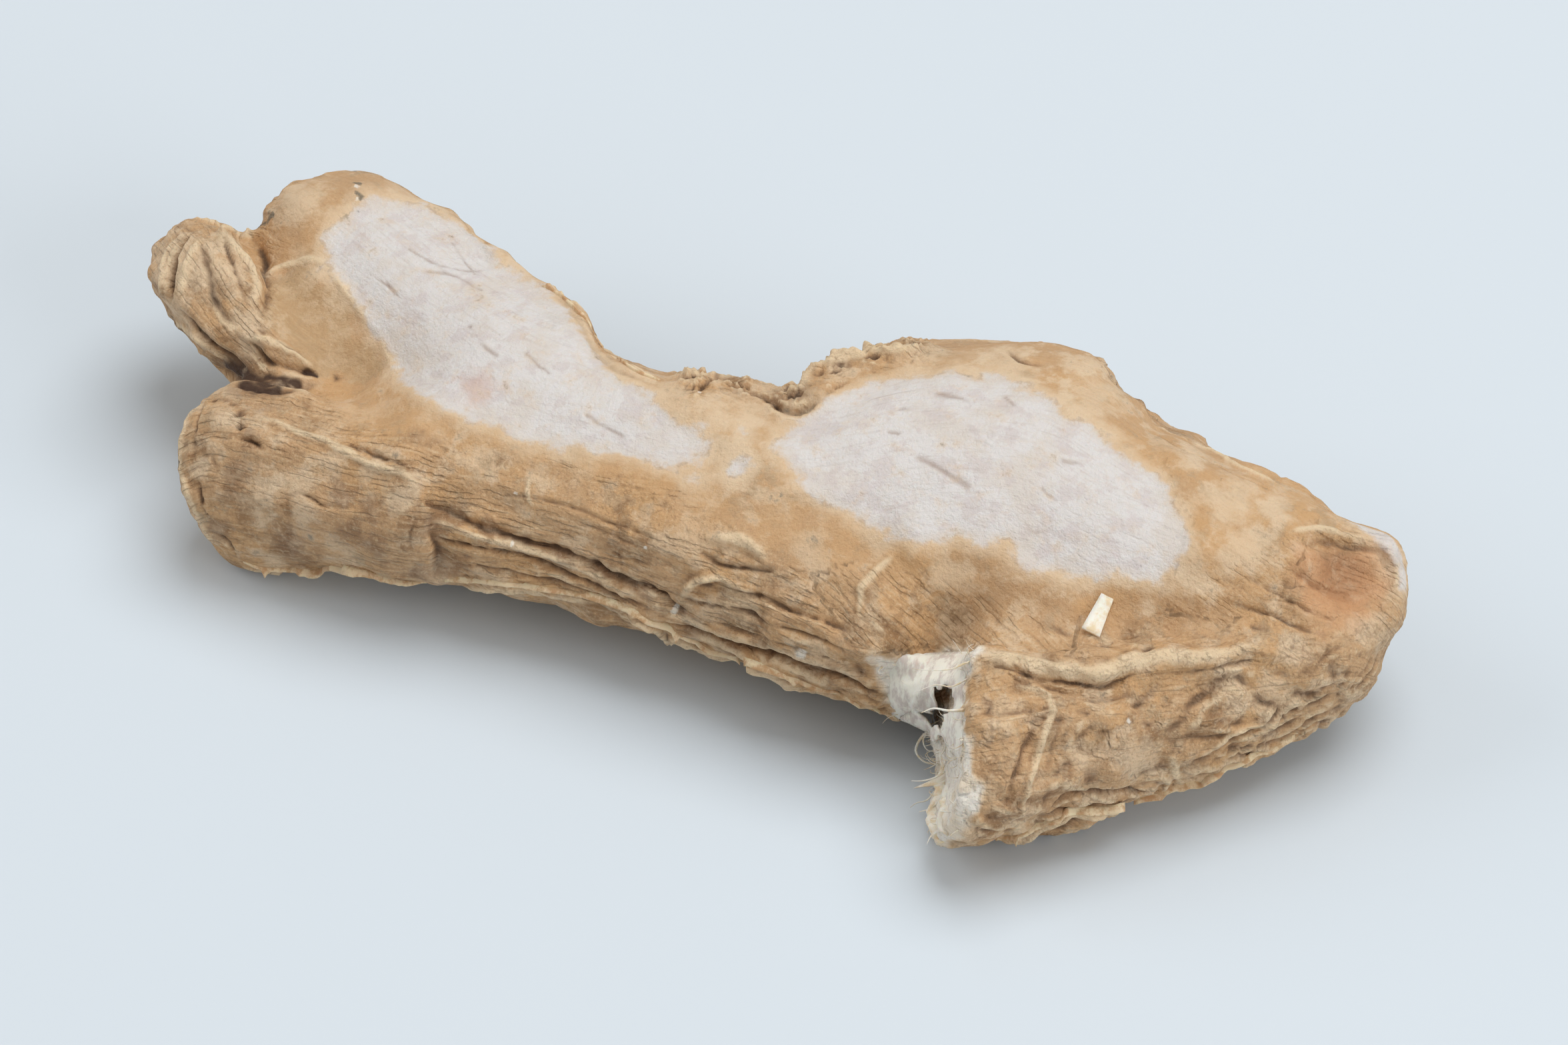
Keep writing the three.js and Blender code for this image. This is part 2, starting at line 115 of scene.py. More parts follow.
# ---- Features of the skin, as (across, up) lines -----------------------------------------------------
# Grooves: line, half width, depth.
GROOVES = [
    # long folds of the front finger
    ([(-24.2, 1.2), (-20.3, -0.2), (-17.9, -1.3), (-14.4, -2.1), (-11.6, -3.7), (-8.8, -4.6),
      (-6.9, -6.0)], 0.3, 0.8),
    ([(-23.9, -0.9), (-20.5, -1.8), (-17.2, -2.5), (-14.9, -3.5), (-12.1, -4.6),
      (-9.3, -5.8)], 0.24, 0.6),
    ([(-22.6, -2.6), (-18.5, -3.5), (-14.6, -4.3), (-11.0, -5.4)], 0.2, 0.35),
    ([(-7.8, -6.9), (-4.9, -7.8), (-2.3, -8.7), (0.3, -9.4), (2.9, -10.4), (6.0, -11.6)], 0.32, 1.1),
    ([(-6.6, -5.2), (-3.2, -5.9), (-0.8, -7.0), (1.5, -7.7), (4.3, -8.9)], 0.2, 0.45),
    ([(-3.4, -4.7), (-0.4, -5.4), (2.2, -6.5), (5.0, -7.6)], 0.2, 0.35),
    ([(-5.6, -2.2), (-4.4, -2.7), (-3.0, -3.1), (-1.0, -3.3)], 0.24, 0.45),
    ([(-19.8, 2.1), (-15.2, 1.2), (-11.0, -0.3), (-8.0, -1.6)], 0.14, 0.18),
    ([(-21.8, -1.4), (-18.6, -2.0), (-15.6, -2.9), (-12.6, -4.1)], 0.1, 0.2),
    ([(-12.6, -1.8), (-9.6, -2.8), (-7.2, -3.9)], 0.1, 0.2),
    ([(-2.4, -5.0), (0.6, -5.9), (3.2, -7.1)], 0.1, 0.2),
    ([(-5.0, -6.6), (-2.2, -7.6), (1.0, -8.5), (4.0, -9.7)], 0.12, 0.3),
    ([(-14.0, 0.0), (-11.4, -1.0), (-8.8, -2.2)], 0.09, 0.16),
    # collar behind the front finger's head
    ([(-25.0, 0.4), (-25.4, -0.8), (-25.3, -2.2)], 0.14, 0.22),
    ([(-23.9, -0.4), (-23.5, -2.0), (-23.7, -3.9)], 0.5, 0.4),
    ([(-29.4, 5.2), (-27.3, 4.5), (-25.9, 3.9)], 0.18, 0.35),
    ([(-34.0, 1.4), (-32.6, 1.8), (-31.4, 1.2), (-29.0, 1.0)], 0.16, 0.25),
    # inside the pale brim of the front finger's head
    ([(-39.3, 8.1), (-39.9, 6.2), (-39.9, 4.9), (-40.1, 3.9), (-39.6, 2.4), (-39.2, 0.7),
      (-38.5, -0.3)], 0.16, 0.34),
    ([(-38.3, -0.9), (-37.5, -1.6), (-37.2, -2.3)], 0.16, 0.3),
    ([(-38.9, 4.6), (-38.6, 3.6), (-38.8, 2.7)], 0.14, 0.2),
    ([(-37.1, 5.7), (-36.2, 5.6), (-35.4, 5.3)], 0.26, 0.6),
    # fork and bud
    ([(-38.4, 10.4), (-36.8, 9.4), (-35.0, 8.8), (-33.2, 8.9), (-31.9, 9.3)], 0.45, 0.55),
    ([(-36.2, 19.7), (-35.3, 17.8), (-34.9, 15.6), (-35.3, 14.2)], 0.28, 0.5),
    ([(-40.5, 19.5), (-41.2, 17.4), (-41.5, 15.2)], 0.22, 0.95),
    ([(-39.5, 18.8), (-39.1, 16.6), (-38.4, 14.8), (-37.2, 13.3)], 0.4, 0.5),
    ([(-37.9, 19.4), (-37.1, 16.9), (-36.3, 14.9)], 0.22, 0.25),
    ([(-41.0, 14.3), (-39.4, 12.9), (-37.8, 11.4), (-36.4, 10.2)], 0.3, 0.5),
    ([(-36.1, 12.3), (-35.1, 11.3), (-33.5, 10.5), (-31.7, 9.9)], 0.24, 0.7),
    ([(-34.6, 12.5), (-33.4, 11.7), (-32.2, 10.8)], 0.18, 0.45),
    # under the lip of the snapped finger, and along its side
    ([(14.2, -9.9), (15.4, -10.1), (17.3, -10.7), (19.7, -11.0), (21.8, -11.0),
      (23.6, -10.3)], 0.18, 0.42),
    ([(24.4, -10.4), (27.0, -10.2), (30.2, -9.7), (33.4, -9.0)], 0.18, 0.25),
    ([(18.9, -12.0), (21.4, -12.0), (23.7, -11.6)], 0.25, 0.2),
    ([(18.9, -13.1), (18.3, -14.8), (17.9, -16.4), (17.2, -18.4)], 0.24, 0.15),
    ([(16.9, -12.5), (17.0, -13.8), (16.2, -15.6), (15.6, -17.3), (15.0, -19.0)], 0.24, 0.28),
    ([(17.3, -20.0), (19.4, -18.6), (22.1, -18.3), (25.1, -18.1), (26.8, -17.4)], 0.22, 0.55),
    ([(16.4, -20.5), (18.9, -19.5), (21.6, -19.2), (24.3, -18.9)], 0.18, 0.4),
    ([(27.4, -16.0), (29.4, -15.4), (31.4, -14.2), (33.0, -13.8)], 0.2, 0.4),
    # torn ridge on the back
    ([(-3.8, 9.1), (-1.6, 8.6), (0.4, 7.5), (1.8, 7.9), (3.2, 8.9), (4.2, 9.6)], 0.2, 0.6),
    ([(-5.8, 9.3), (-4.6, 9.8), (-3.6, 9.9)], 0.2, 0.4),
    ([(-0.6, 10.0), (0.4, 9.0), (1.2, 9.6)], 0.3, 0.6),
    ([(15.2, 11.7), (16.3, 11.0), (17.7, 10.7)], 0.24, 0.35),
    ([(24.8, 6.0), (28.5, 4.4), (31.1, 3.0), (34.5, 1.7)], 0.14, 0.2),
    ([(-15.6, 15.6), (-14.0, 13.9), (-12.9, 12.0), (-11.3, 10.4), (-9.0, 9.5)], 0.4, 0.24),
    ([(-25.0, 22.0), (-22.0, 20.2), (-19.6, 18.4)], 0.14, 0.15),
    # socket at the far end
    ([(35.0, -1.5), (37.5, -1.4), (39.9, -1.9), (40.8, -3.2), (40.6, -4.6)], 0.3, 0.3),
    ([(34.6, -3.4), (36.4, -4.4), (38.6, -5.0)], 0.24, 0.3),
    ([(31.6, -4.0), (34.0, -5.2), (36.8, -6.6)], 0.2, 0.3),
    ([(30.4, -5.6), (33.4, -6.6), (36.4, -7.8)], 0.18, 0.25),
]
# Ridges, lips and hems: line, half width, height.
RIDGES = [
    # front finger
    ([(-23.7, 0.2), (-20.5, -0.9), (-17.7, -1.7), (-14.7, -2.8), (-11.6, -4.2)], 0.24, 0.22),
    ([(-12.1, -5.5), (-8.3, -7.4), (-5.5, -8.8), (-2.7, -9.8), (0.1, -10.8), (2.9, -11.8),
      (5.7, -13.0)], 0.3, 0.6),
    ([(-23.0, -4.4), (-20.4, -4.4), (-17.0, -4.8), (-12.4, -5.4)], 0.28, 0.35),
    ([(-6.9, -5.2), (-6.0, -3.9), (-4.6, -3.5), (-3.4, -4.2), (-2.0, -4.9)], 0.24, 0.6),
    ([(-4.9, -1.0), (-3.4, -0.9), (-2.0, -1.6), (-1.0, -2.6)], 0.4, 0.45),
    ([(7.4, -2.3), (6.0, -3.5), (5.3, -4.6), (5.0, -6.6)], 0.26, 0.3),
    ([(-17.2, 3.3), (-17.4, 2.0), (-17.0, 0.8)], 0.2, 0.2),
    # collar and head
    ([(-35.6, 7.2), (-31.4, 5.6), (-28.6, 4.3), (-25.8, 3.2), (-24.9, 2.4)], 0.3, 0.4),
    ([(-39.2, 9.0), (-40.2, 7.8), (-40.7, 5.5), (-40.7, 3.3), (-39.9, 1.0), (-39.1, -0.6),
      (-37.8, -2.2)], 0.26, 0.3),
    ([(-36.7, -2.9), (-34.2, -3.4), (-31.8, -3.6)], 0.26, 0.35),
    ([(-31.9, -3.7), (-30.9, -3.1), (-29.2, -3.5), (-26.4, -4.0), (-24.2, -4.5)], 0.24, 0.6),
    # edge of the dull skin
    ([(-35.5, 16.5), (-33.6, 17.5), (-31.8, 17.7), (-30.5, 16.9), (-29.3, 15.4), (-28.0, 13.5),
      (-27.0, 12.3), (-26.4, 10.2)], 0.3, 0.14),
    # bud
    ([(-40.9, 19.3), (-41.8, 17.6), (-42.1, 15.4)], 0.2, 0.28),
    ([(-39.7, 19.2), (-40.5, 17.0), (-40.8, 15.2)], 0.3, 0.35),
    ([(-39.2, 16.8), (-38.2, 14.3), (-36.9, 12.8)], 0.3, 0.4),
    ([(-38.4, 19.8), (-36.7, 18.2), (-35.7, 16.2), (-35.9, 14.7)], 0.36, 0.32),
    ([(-41.3, 13.5), (-39.3, 12.3), (-37.7, 11.0)], 0.3, 0.32),
    ([(-39.8, 20.5), (-37.6, 20.3), (-35.9, 19.5)], 0.3, 0.45),
    ([(-36.4, 12.6), (-34.3, 12.2), (-32.2, 10.6)], 0.28, 0.45),
    # snapped finger
    ([(13.0, -9.0), (14.8, -9.2), (17.3, -9.7), (19.4, -10.1), (21.9, -10.1), (23.8, -9.4), (25.9, -9.1),
      (28.1, -9.0), (32.4, -8.3)], 0.55, 0.38),
    ([(16.0, -11.3), (17.5, -11.7), (18.3, -12.7), (17.5, -14.5), (17.1, -16.1), (16.5, -18.0),
      (15.8, -19.7)], 0.26, 0.34),
    ([(14.4, -22.0), (15.4, -21.7), (17.3, -20.9), (19.4, -19.8), (22.1, -19.8), (25.4, -18.9),
      (27.5, -18.2), (28.6, -17.7), (31.9, -16.1), (34.6, -15.4)], 0.28, 0.5),
    ([(26.2, -15.6), (26.7, -17.0), (27.2, -18.0)], 0.28, 0.4),
    ([(28.6, -15.4), (31.0, -14.2), (33.6, -13.6)], 0.26, 0.35),
    # back
    ([(-6.4, 9.5), (-4.6, 10.4), (-3.0, 10.7), (-0.9, 10.2), (0.2, 9.2)], 0.36, 0.6),
    ([(1.0, 9.0), (2.0, 9.9), (3.4, 10.7), (5.6, 11.4), (9.3, 11.7)], 0.5, 0.7),
    ([(-16.3, 16.5), (-14.5, 15.2), (-13.0, 13.5), (-12.5, 12.3), (-10.6, 10.8), (-8.6, 9.8)], 0.16, 0.2),
    ([(25.0, 6.6), (28.7, 4.9), (31.3, 3.6), (34.7, 2.2)], 0.2, 0.25),
    # socket
    ([(34.2, -0.6), (37.2, -0.7), (40.0, -1.2)], 0.22, 0.25),
    ([(40.5, -1.5), (41.5, -2.8), (41.5, -4.4)], 0.26, 0.35),
]
# Small pits: point, radius, depth.
PITS = [
    ((-36.9, 7.4), 0.26, 0.7),
    ((-36.9, 6.6), 0.26, 0.7),
    ((-30.3, 9.8), 0.25, 0.3),
    ((37.9, -3.6), 2.0, 0.7),
]
# Where the dried piece differs from the smooth solid: point, radius, and its shift across, up and towards
# the camera.
SHIFTS = [
    ((-42.9, 16.0), 2.1, (-1.15, 0.0, 0.0)),
    ((-40.0, -0.6), 2.5, (0.8, 0.55, 0.0)),
    ((-29.6, 24.6), 1.8, (0.0, -0.65, 0.0)),
    ((-33.4, 23.4), 1.3, (0.1, -0.3, 0.0)),
    ((-31.0, 24.2), 0.9, (0.0, -0.4, 0.0)),
    ((-35.0, 22.4), 0.9, (0.35, -0.4, 0.0)),
    ((-37.0, 20.2), 1.1, (0.4, 1.0, 0.0)),
    ((-11.4, 12.8), 1.8, (-0.4, -1.1, 0.0)),
    ((-8.2, 11.6), 2.2, (0.0, -1.2, 0.0)),
    ((25.6, 9.0), 2.8, (0.0, -2.2, 0.0)),
    ((29.4, 6.6), 2.4, (0.0, -1.0, 0.0)),
    ((41.8, -1.6), 1.6, (0.1, 0.2, 0.2)),
    ((7.2, -12.9), 1.8, (0.2, -0.8, 0.0)),
    ((8.3, -13.2), 1.3, (0.6, -0.6, 0.0)),
    ((9.9, -17.0), 1.6, (0.7, 0.0, 0.0)),
]
# Outlines of the places where the skin was scraped off.
SCRAPED = [
    [(-28.1, 22.2), (-24.7, 21.6), (-21.8, 20.2), (-18.5, 17.7), (-15.5, 15.0), (-13.7, 12.9),
      (-11.7, 10.6), (-9.2, 8.6), (-6.6, 6.6), (-4.9, 5.5), (-5.7, 4.3), (-8.5, 3.9), (-12.4, 5.0),
      (-15.8, 5.5), (-18.0, 5.4), (-19.7, 6.4), (-22.2, 7.5), (-24.7, 8.6), (-26.0, 10.0), (-26.7, 11.4),
      (-28.1, 13.4), (-29.2, 15.3), (-30.9, 17.3), (-31.1, 18.7), (-30.3, 20.3), (-29.2, 21.5)],
    [(-1.0, 5.5), (0.6, 7.2), (3.3, 8.8), (7.0, 10.0), (11.0, 10.3), (15.0, 9.7), (18.3, 8.2),
      (21.0, 6.5), (23.7, 4.5), (25.3, 2.5), (26.7, 0.5), (27.3, -1.8), (25.7, -4.0), (22.7, -3.5),
      (20.0, -3.8), (17.0, -2.8), (15.0, -1.5), (11.6, -1.0), (9.0, -1.5), (7.0, -0.8), (4.3, 0.5),
      (2.0, 2.2), (0.3, 3.8)],
    [(38.8, 0.2), (40.6, 0.2), (42.2, -1.0), (43.4, -2.8), (42.8, -5.0), (41.5, -4.6), (41.3, -2.8),
      (40.2, -1.1)],
]
# Small scraped spots: point and radius.
SCRAPED_SPOTS = [(-3.1, 4.0, 0.55), (-2.6, 6.2, 0.4), (-5.8, 3.1, 0.5), (25.3, -3.7, 0.6)]
# The smooth skin ends at this line, and the shrivelled skin of the front begins below it.
SMOOTH_EDGE = [
    (-46.0, 9.0), (-33.0, 9.0), (-29.0, 6.8), (-23.3, 5.6), (-18.6, 4.8), (-17.2, 4.2), (-10.2, 3.0),
    (-6.9, 1.4), (-3.6, 0.2), (-0.8, -1.6), (2.5, -3.0), (6.0, -3.0), (10.0, -3.6), (18.0, -6.5),
    (24.0, -6.8), (30.0, -3.0), (36.0, -0.4), (46.0, 0.5),
]
# Outline of the white torn tissue between the front finger and the stump.
WEB = [
    (6.0, -9.2), (8.6, -9.5), (11.6, -8.8), (13.4, -8.7), (12.6, -9.8), (12.1, -10.8), (12.2, -12.8),
    (12.3, -14.8), (10.6, -16.4), (9.6, -15.2), (8.6, -14.2), (7.4, -12.2),
]
# Outline of the break of the snapped finger.
BREAK = [
    (8.6, -14.0), (12.2, -12.9), (12.4, -14.6), (12.5, -16.4), (13.5, -18.0), (13.2, -19.0),
    (12.5, -20.5), (11.4, -21.5), (10.4, -22.8), (8.4, -23.4),
]
SOCKET = [
    (35.0, -1.7), (40.0, -2.0), (40.8, -4.2), (39.7, -6.2), (37.0, -7.3), (35.8, -6.2), (34.7, -4.2),
]
# Warm orange skin round the scraped places: point and radius.
WARM = [
    (-34.8, 18.7, 2.2), (-31.4, 19.5, 1.8), (-30.3, 8.2, 2.2), (-26.9, 7.9, 2.2), (-24.7, 7.8, 1.8),
    (-16.9, 5.0, 1.4), (-13.0, 4.0, 2.0), (-8.8, 2.6, 2.2), (-5.0, 0.9, 2.2), (-0.4, -0.2, 2.0),
    (4.3, -1.5, 2.0), (8.0, -2.5, 1.6), (25.9, 4.0, 1.6), (28.6, 0.4, 1.6),
]
# Pale, almost cream skin: point and radius.
PALE = [
    (-3.5, 4.0, 2.6), (-2.4, 7.2, 2.0), (-7.4, 8.2, 2.0), (-4.8, 7.4, 1.8), (-10.2, 9.9, 1.2),
    (30.6, 1.6, 2.6), (31.4, -1.8, 2.2), (28.0, 4.8, 1.6), (27.8, -3.4, 1.6), (3.4, 10.6, 1.6),
    (9.0, 11.6, 2.0), (15.0, 10.6, 2.4), (21.0, 8.6, 2.6), (-20.5, 19.6, 1.6), (-11.0, 9.6, 1.6),
    (-33.0, 22.0, 2.0), (-30.0, 15.8, 1.4), (24.6, -5.6, 0.7), (-26.0, 1.6, 1.2), (-33.0, 2.6, 1.6),
    (30.0, -2.6, 1.6), (33.4, 1.0, 1.6), (-40.6, 17.0, 1.8), (-24.0, 22.2, 1.4), (-18.0, 17.4, 1.3),
    (-15.4, 15.0, 1.2), (-12.8, 12.4, 1.2), (-39.6, 12.6, 1.2), (-25.0, 2.8, 1.0), (24.0, -16.0, 2.0),
    (30.0, -10.6, 1.6), (16.0, -20.8, 1.0), (15.0, -9.3, 1.0), (17.2, -9.8, 1.0), (19.4, -10.1, 1.0),
    (21.7, -10.0, 1.0), (24.0, -9.4, 1.0), (26.5, -9.0, 1.0), (29.0, -8.8, 1.0), (-34.1, 2.7, 1.2),
    (-35.4, 0.3, 1.1), (-32.4, 0.7, 1.0), (-28.0, 3.4, 1.1), (-26.5, 1.7, 0.9), (-34.6, -2.8, 1.0),
    (-39.5, 3.5, 1.0), (-37.8, 7.1, 1.2), (-42.0, 14.0, 2.2), (-38.4, 17.4, 2.6), (-36.4, 13.6, 1.8),
    (-41.4, 17.8, 2.4), (34.4, -8.6, 1.4), (30.6, -12.8, 1.0), (20.4, -15.8, 1.2), (38.6, -6.9, 1.0),
]
# Dark spots in hollows and in the fork, partly the skin's own colour and partly painted shade: point, radius.
BROWN_AND_SHADE_SPOTS = [
    (-36.6, 9.6, 1.3), (-34.6, 9.2, 1.2), (-38.2, 10.8, 0.9), (-23.2, -0.2, 1.2), (-22.4, -2.8, 1.2),
    (-37.4, 3.2, 1.2), (-36.4, 5.4, 1.0), (-38.2, -0.4, 1.0), (-33.6, -1.6, 1.1), (-29.7, 2.0, 1.3),
    (-28.2, 0.9, 1.2), (-32.2, -3.0, 0.9), (-3.4, -9.0, 0.8), (-0.4, 8.4, 0.8), (-29.2, -0.4, 1.3),
    (-27.6, -1.4, 1.0), (15.9, -11.0, 0.8), (18.2, -13.6, 0.9), (-24.8, -3.6, 0.8), (1.6, -10.2, 0.8),
    (-22.0, 0.4, 1.1), (-20.0, -0.4, 1.0), (-17.6, -1.6, 0.9), (-15.0, -2.5, 0.9), (-12.2, -3.5, 0.9),
    (-9.5, -4.6, 0.9), (-6.2, -7.2, 0.8), (-1.0, -8.9, 0.8), (3.2, -10.3, 0.8),
]
# Deep shade in the fork: line, half width.
SHADED = [
    ([(-37.5, 10.4), (-36.7, 10.0), (-35.9, 9.5), (-35.2, 9.2)], 0.8),
    ([(-36.6, 9.5), (-35.6, 9.0), (-34.6, 8.9), (-33.9, 9.1)], 0.55),
    ([(-34.8, 9.9), (-33.9, 9.6), (-33.0, 9.3)], 0.35),
    ([(-32.4, 10.2), (-31.7, 9.8)], 0.3),
]
# Flecks of white dust: point, radius.
FLECKS = [
    (-9.4, -1.7, 0.16), (-18.4, -1.4, 0.15), (1.3, -8.8, 0.3), (4.9, -7.7, 0.14), (-7.4, -5.9, 0.25),
    (-5.7, 9.0, 0.16), (-18.2, 2.0, 0.14), (-28.9, 21.9, 0.2), (-29.0, 22.8, 0.16), (23.4, -13.4, 0.18),
]
# Dull flaky skin of the back finger: point, radius.
DULL = [
    (-33.4, 14.6, 2.4), (-31.0, 14.4, 2.0), (-31.4, 12.0, 2.4), (-28.8, 11.0, 1.7), (-32.6, 16.4, 1.0),
]
# Torn, crumbly skin: point, radius.
GNARLED = [
    (-6.0, 9.9, 1.4), (-3.2, 9.8, 1.4), (0.6, 9.0, 1.4), (3.2, 10.8, 1.4), (6.2, 11.7, 1.4),
    (8.8, 12.0, 1.2),
]
# Dark stains: line, half width.
GRIMY = [
    ([(-29.3, 23.1), (-28.8, 23.0)], 0.16),
    ([(-29.2, 22.4), (-28.6, 22.1), (-29.0, 21.8)], 0.24),
    ([(-28.9, 21.3), (-28.6, 21.0)], 0.14),
    ([(-30.0, 24.0), (-28.4, 23.7)], 0.22),
    ([(-40.4, 20.3), (-39.4, 20.5)], 0.3),
    ([(-41.0, 4.4), (-40.8, 1.4)], 0.3),
    ([(-35.6, 20.2), (-34.8, 20.7)], 0.3),
]
# Thin scratches in the scraped places: line, half width.
SCRATCHES = [
    ([(-25.4, 18.6), (-23.6, 17.6), (-21.4, 17.2), (-19.7, 17.4)], 0.12),
    ([(-24.6, 17.0), (-22.6, 16.9), (-20.4, 15.9)], 0.11),
    ([(-22.6, 19.0), (-21.0, 16.9)], 0.1),
    ([(-21.4, 13.4), (-20.6, 12.3), (-19.5, 11.3)], 0.15),
    ([(-27.0, 16.4), (-26.2, 15.0)], 0.1),
    ([(-17.4, 11.6), (-16.0, 10.2)], 0.1),
    ([(-13.4, 7.4), (-10.8, 6.0)], 0.12),
    ([(9.3, 4.4), (10.6, 3.6), (12.7, 2.4)], 0.2),
    ([(10.5, 8.8), (12.3, 8.4)], 0.2),
    ([(7.3, 6.3), (8.2, 6.1)], 0.14),
    ([(7.8, 7.9), (8.9, 7.8)], 0.12),
    ([(14.9, 8.6), (15.6, 7.9)], 0.12),
    ([(17.6, 2.2), (18.6, 1.6)], 0.12),
    ([(19.0, 4.2), (20.4, 4.0)], 0.12),
    ([(13.0, 5.6), (13.9, 5.2)], 0.1),
    ([(16.0, -0.4), (17.2, -1.0)], 0.12),
]
BLUSH = (-20.8, 9.2, 1.3)
# Places where the grain runs its own way: outline, direction in degrees from across, and how clear it is.
GRAIN_PLACES = [
    ([(1.6, -3.4), (5.0, -2.2), (8.4, -1.4), (12.0, -1.8), (17.0, -3.6), (20.4, -5.2), (19.5, -9.2),
      (16.0, -8.9), (12.5, -8.5), (6.6, -8.9), (4.4, -8.2), (3.0, -6.4)], -42, 0.5),
    ([(24.6, 6.4), (31.0, 3.4), (36.0, 0.6), (34.6, -4.0), (30.0, -7.4), (25.4, -5.4),
      (27.4, 0.0)], -34, 0.25),
]
# How much of the wrinkles the skin keeps where it dried calmer: point, radius and share.
CALM = [
    (-39.5, 16.5, 4.5, 0.35), (-35.5, 2.5, 6.0, 0.42), (-29.0, 1.0, 3.5, 0.55), (38.0, -4.5, 4.0, 0.35),
    (25.5, 8.5, 3.0, 0.2), (30.0, 5.5, 3.0, 0.2), (34.5, 3.0, 3.0, 0.3), (-31.5, 23.5, 3.0, 0.3),
    (16.0, -9.7, 1.4, 0.3), (19.5, -10.2, 1.4, 0.3), (23.0, -9.8, 1.4, 0.3), (27.0, -9.0, 1.4, 0.4),
]
# Peel of white skin that stands up on the bulge: its two ends and its width.
CHIP = ((20.7, -7.5), (21.9, -5.0), 1.25)
# The torn membrane spans these two edges, one on the front finger and one on the stump.
MEMBRANE_LEFT = [(7.2, -8.9), (6.9, -11.2), (7.2, -12.9), (8.2, -13.9), (9.3, -14.9)]
MEMBRANE_RIGHT = [(13.4, -8.7), (12.5, -10.2), (12.2, -12.2), (12.2, -14.4), (12.2, -16.0)]
MEMBRANE_HOLES = [(10.8, -12.0, 0.7), (10.3, -13.2, 0.58), (10.7, -15.4, 0.6)]
# Loose threads below the membrane: lines in the air that start on the skin, with their half width.
CURLS = [
    ([(9.0, -13.7), (8.3, -14.3), (8.0, -15.1), (8.5, -15.8), (9.3, -16.0), (10.3, -15.8)], 0.15),
    ([(9.5, -14.0), (9.0, -14.6), (9.2, -15.3), (9.9, -15.5)], 0.11),
    ([(10.9, -16.9), (10.2, -17.3), (9.4, -17.5), (8.7, -17.5)], 0.11),
    ([(10.4, -19.0), (9.9, -19.4), (9.2, -19.6)], 0.12),
    ([(10.2, -18.2), (9.7, -18.8), (9.0, -19.0), (8.6, -19.3)], 0.09),
    ([(10.6, -20.8), (10.0, -21.2), (9.7, -21.8)], 0.12),
    ([(11.0, -15.2), (10.6, -15.9), (10.8, -16.7)], 0.09),
    ([(12.6, -9.4), (11.4, -9.9), (10.2, -10.0), (8.8, -9.9)], 0.08),
    ([(12.4, -10.6), (11.4, -11.1), (10.3, -11.0), (9.0, -11.5)], 0.08),
    ([(12.2, -12.7), (11.2, -12.75), (10.2, -12.6), (9.4, -12.9)], 0.14),
]
# Pointed shreds of torn tissue at the left edge of the break, given as the hems are.
SHREDS = [
    ([(10.6, -16.2), (10.8, -17.4), (10.5, -18.6), (10.2, -19.6), (10.4, -20.8),
      (10.7, -22.0)], 0.5, (-1, -0.3)),
    ([(11.0, -17.6), (10.9, -18.8), (10.8, -20.0), (10.9, -21.4)], 0.4, (-1, -0.6)),
]
# Thin ragged flaps of skin along the lower edges and the back edge: line, width, and which way they lean.
HEMS = [
    ([(-36.7, -2.7), (-34.2, -3.2), (-31.9, -3.4), (-30.9, -3.0), (-29.2, -3.3), (-26.4, -3.9),
      (-24.0, -4.4)], 0.36, (0, -1)),
    ([(-23.0, -4.0), (-20.4, -4.0), (-17.0, -4.4), (-12.4, -5.2), (-8.3, -7.0), (-5.5, -8.4),
      (-2.7, -9.4), (0.1, -10.4), (2.9, -11.4), (5.7, -12.5), (8.4, -13.6)], 0.32, (0, -1)),
    ([(14.4, -21.8), (15.4, -21.4), (17.3, -20.6), (19.4, -19.6), (22.1, -19.5), (25.4, -18.6),
      (27.5, -17.9), (28.6, -17.4), (31.9, -15.8), (34.6, -15.0)], 0.45, (0, -1)),
    ([(-16.4, 16.3), (-14.6, 14.9), (-13.1, 13.2), (-12.5, 12.1), (-10.4, 10.5),
      (-8.4, 9.5)], 0.25, (0, 1)),
]

# ---- Laying, refining and thin pieces ----------------------------------------------------------------
LAID_STEP = 0.3  # distance between the points of a line that is laid on the skin
LONGEST_RUN = 2.0  # a laid line breaks off where it would leap further than this from one limb to another
LONGEST_STEP = 1.0  # a flap of torn skin parts where its foot would leap further than this
SEARCH_REACH = 30  # how far in front of AIM's plane and behind it a ray looks for the skin that it misses
SEARCH_STEP = 3
DOUBLES = 0.002  # the solid's corners that are closer than this are one
REFINE_SMOOTHING = 0.35
FINE_REACH = 1.2  # the mesh is finer this near to a fold, hem or tear
KEPT_WRINKLES = 0.75  # share of the wrinkles' full height that the skin shows
SMOOTH_WRINKLES = 0.22  # share of that which is left where the skin is smooth
LOWEST = 0.1  # height over the table that threads and flaps keep
HEM_STEP = 0.22
HEM_EVENED = 6  # points on either side that a hem's depth is evened over
FLAP_THICKNESS = 0.12
MEMBRANE_THICKNESS = 0.14
MEMBRANE_COLUMNS = 30
PEEL_THICKNESS = 0.16
BREAK_THREADS = 90
WEB_THREADS = 40
THREAD_RADII = (0.03, 0.06)
THREAD_CURLS = (0.4, 2.2)
THREAD_BENDS = 6

# ---- Room --------------------------------------------------------------------------------------------
ROOM_COLOUR = (1.0, 0.95, 0.89, 1.0)
ROOM_STRENGTH = 0.38
LAMP_COLOUR = (0.96, 0.985, 1.0)
# Round lamps: name, place in metres, width and power.
LAMPS = [
    ("ceiling", (0.3, 0.35, 1.3), 1.2, 12.5),
    ("right", (1.1, -0.5, 0.5), 0.8, 5.7),
    ("left", (-1.1, -0.1, 0.7), 1.0, 4.2),
]
FLOOR_SIZE = 1.5
FLOOR_ROUGHNESS = 0.22


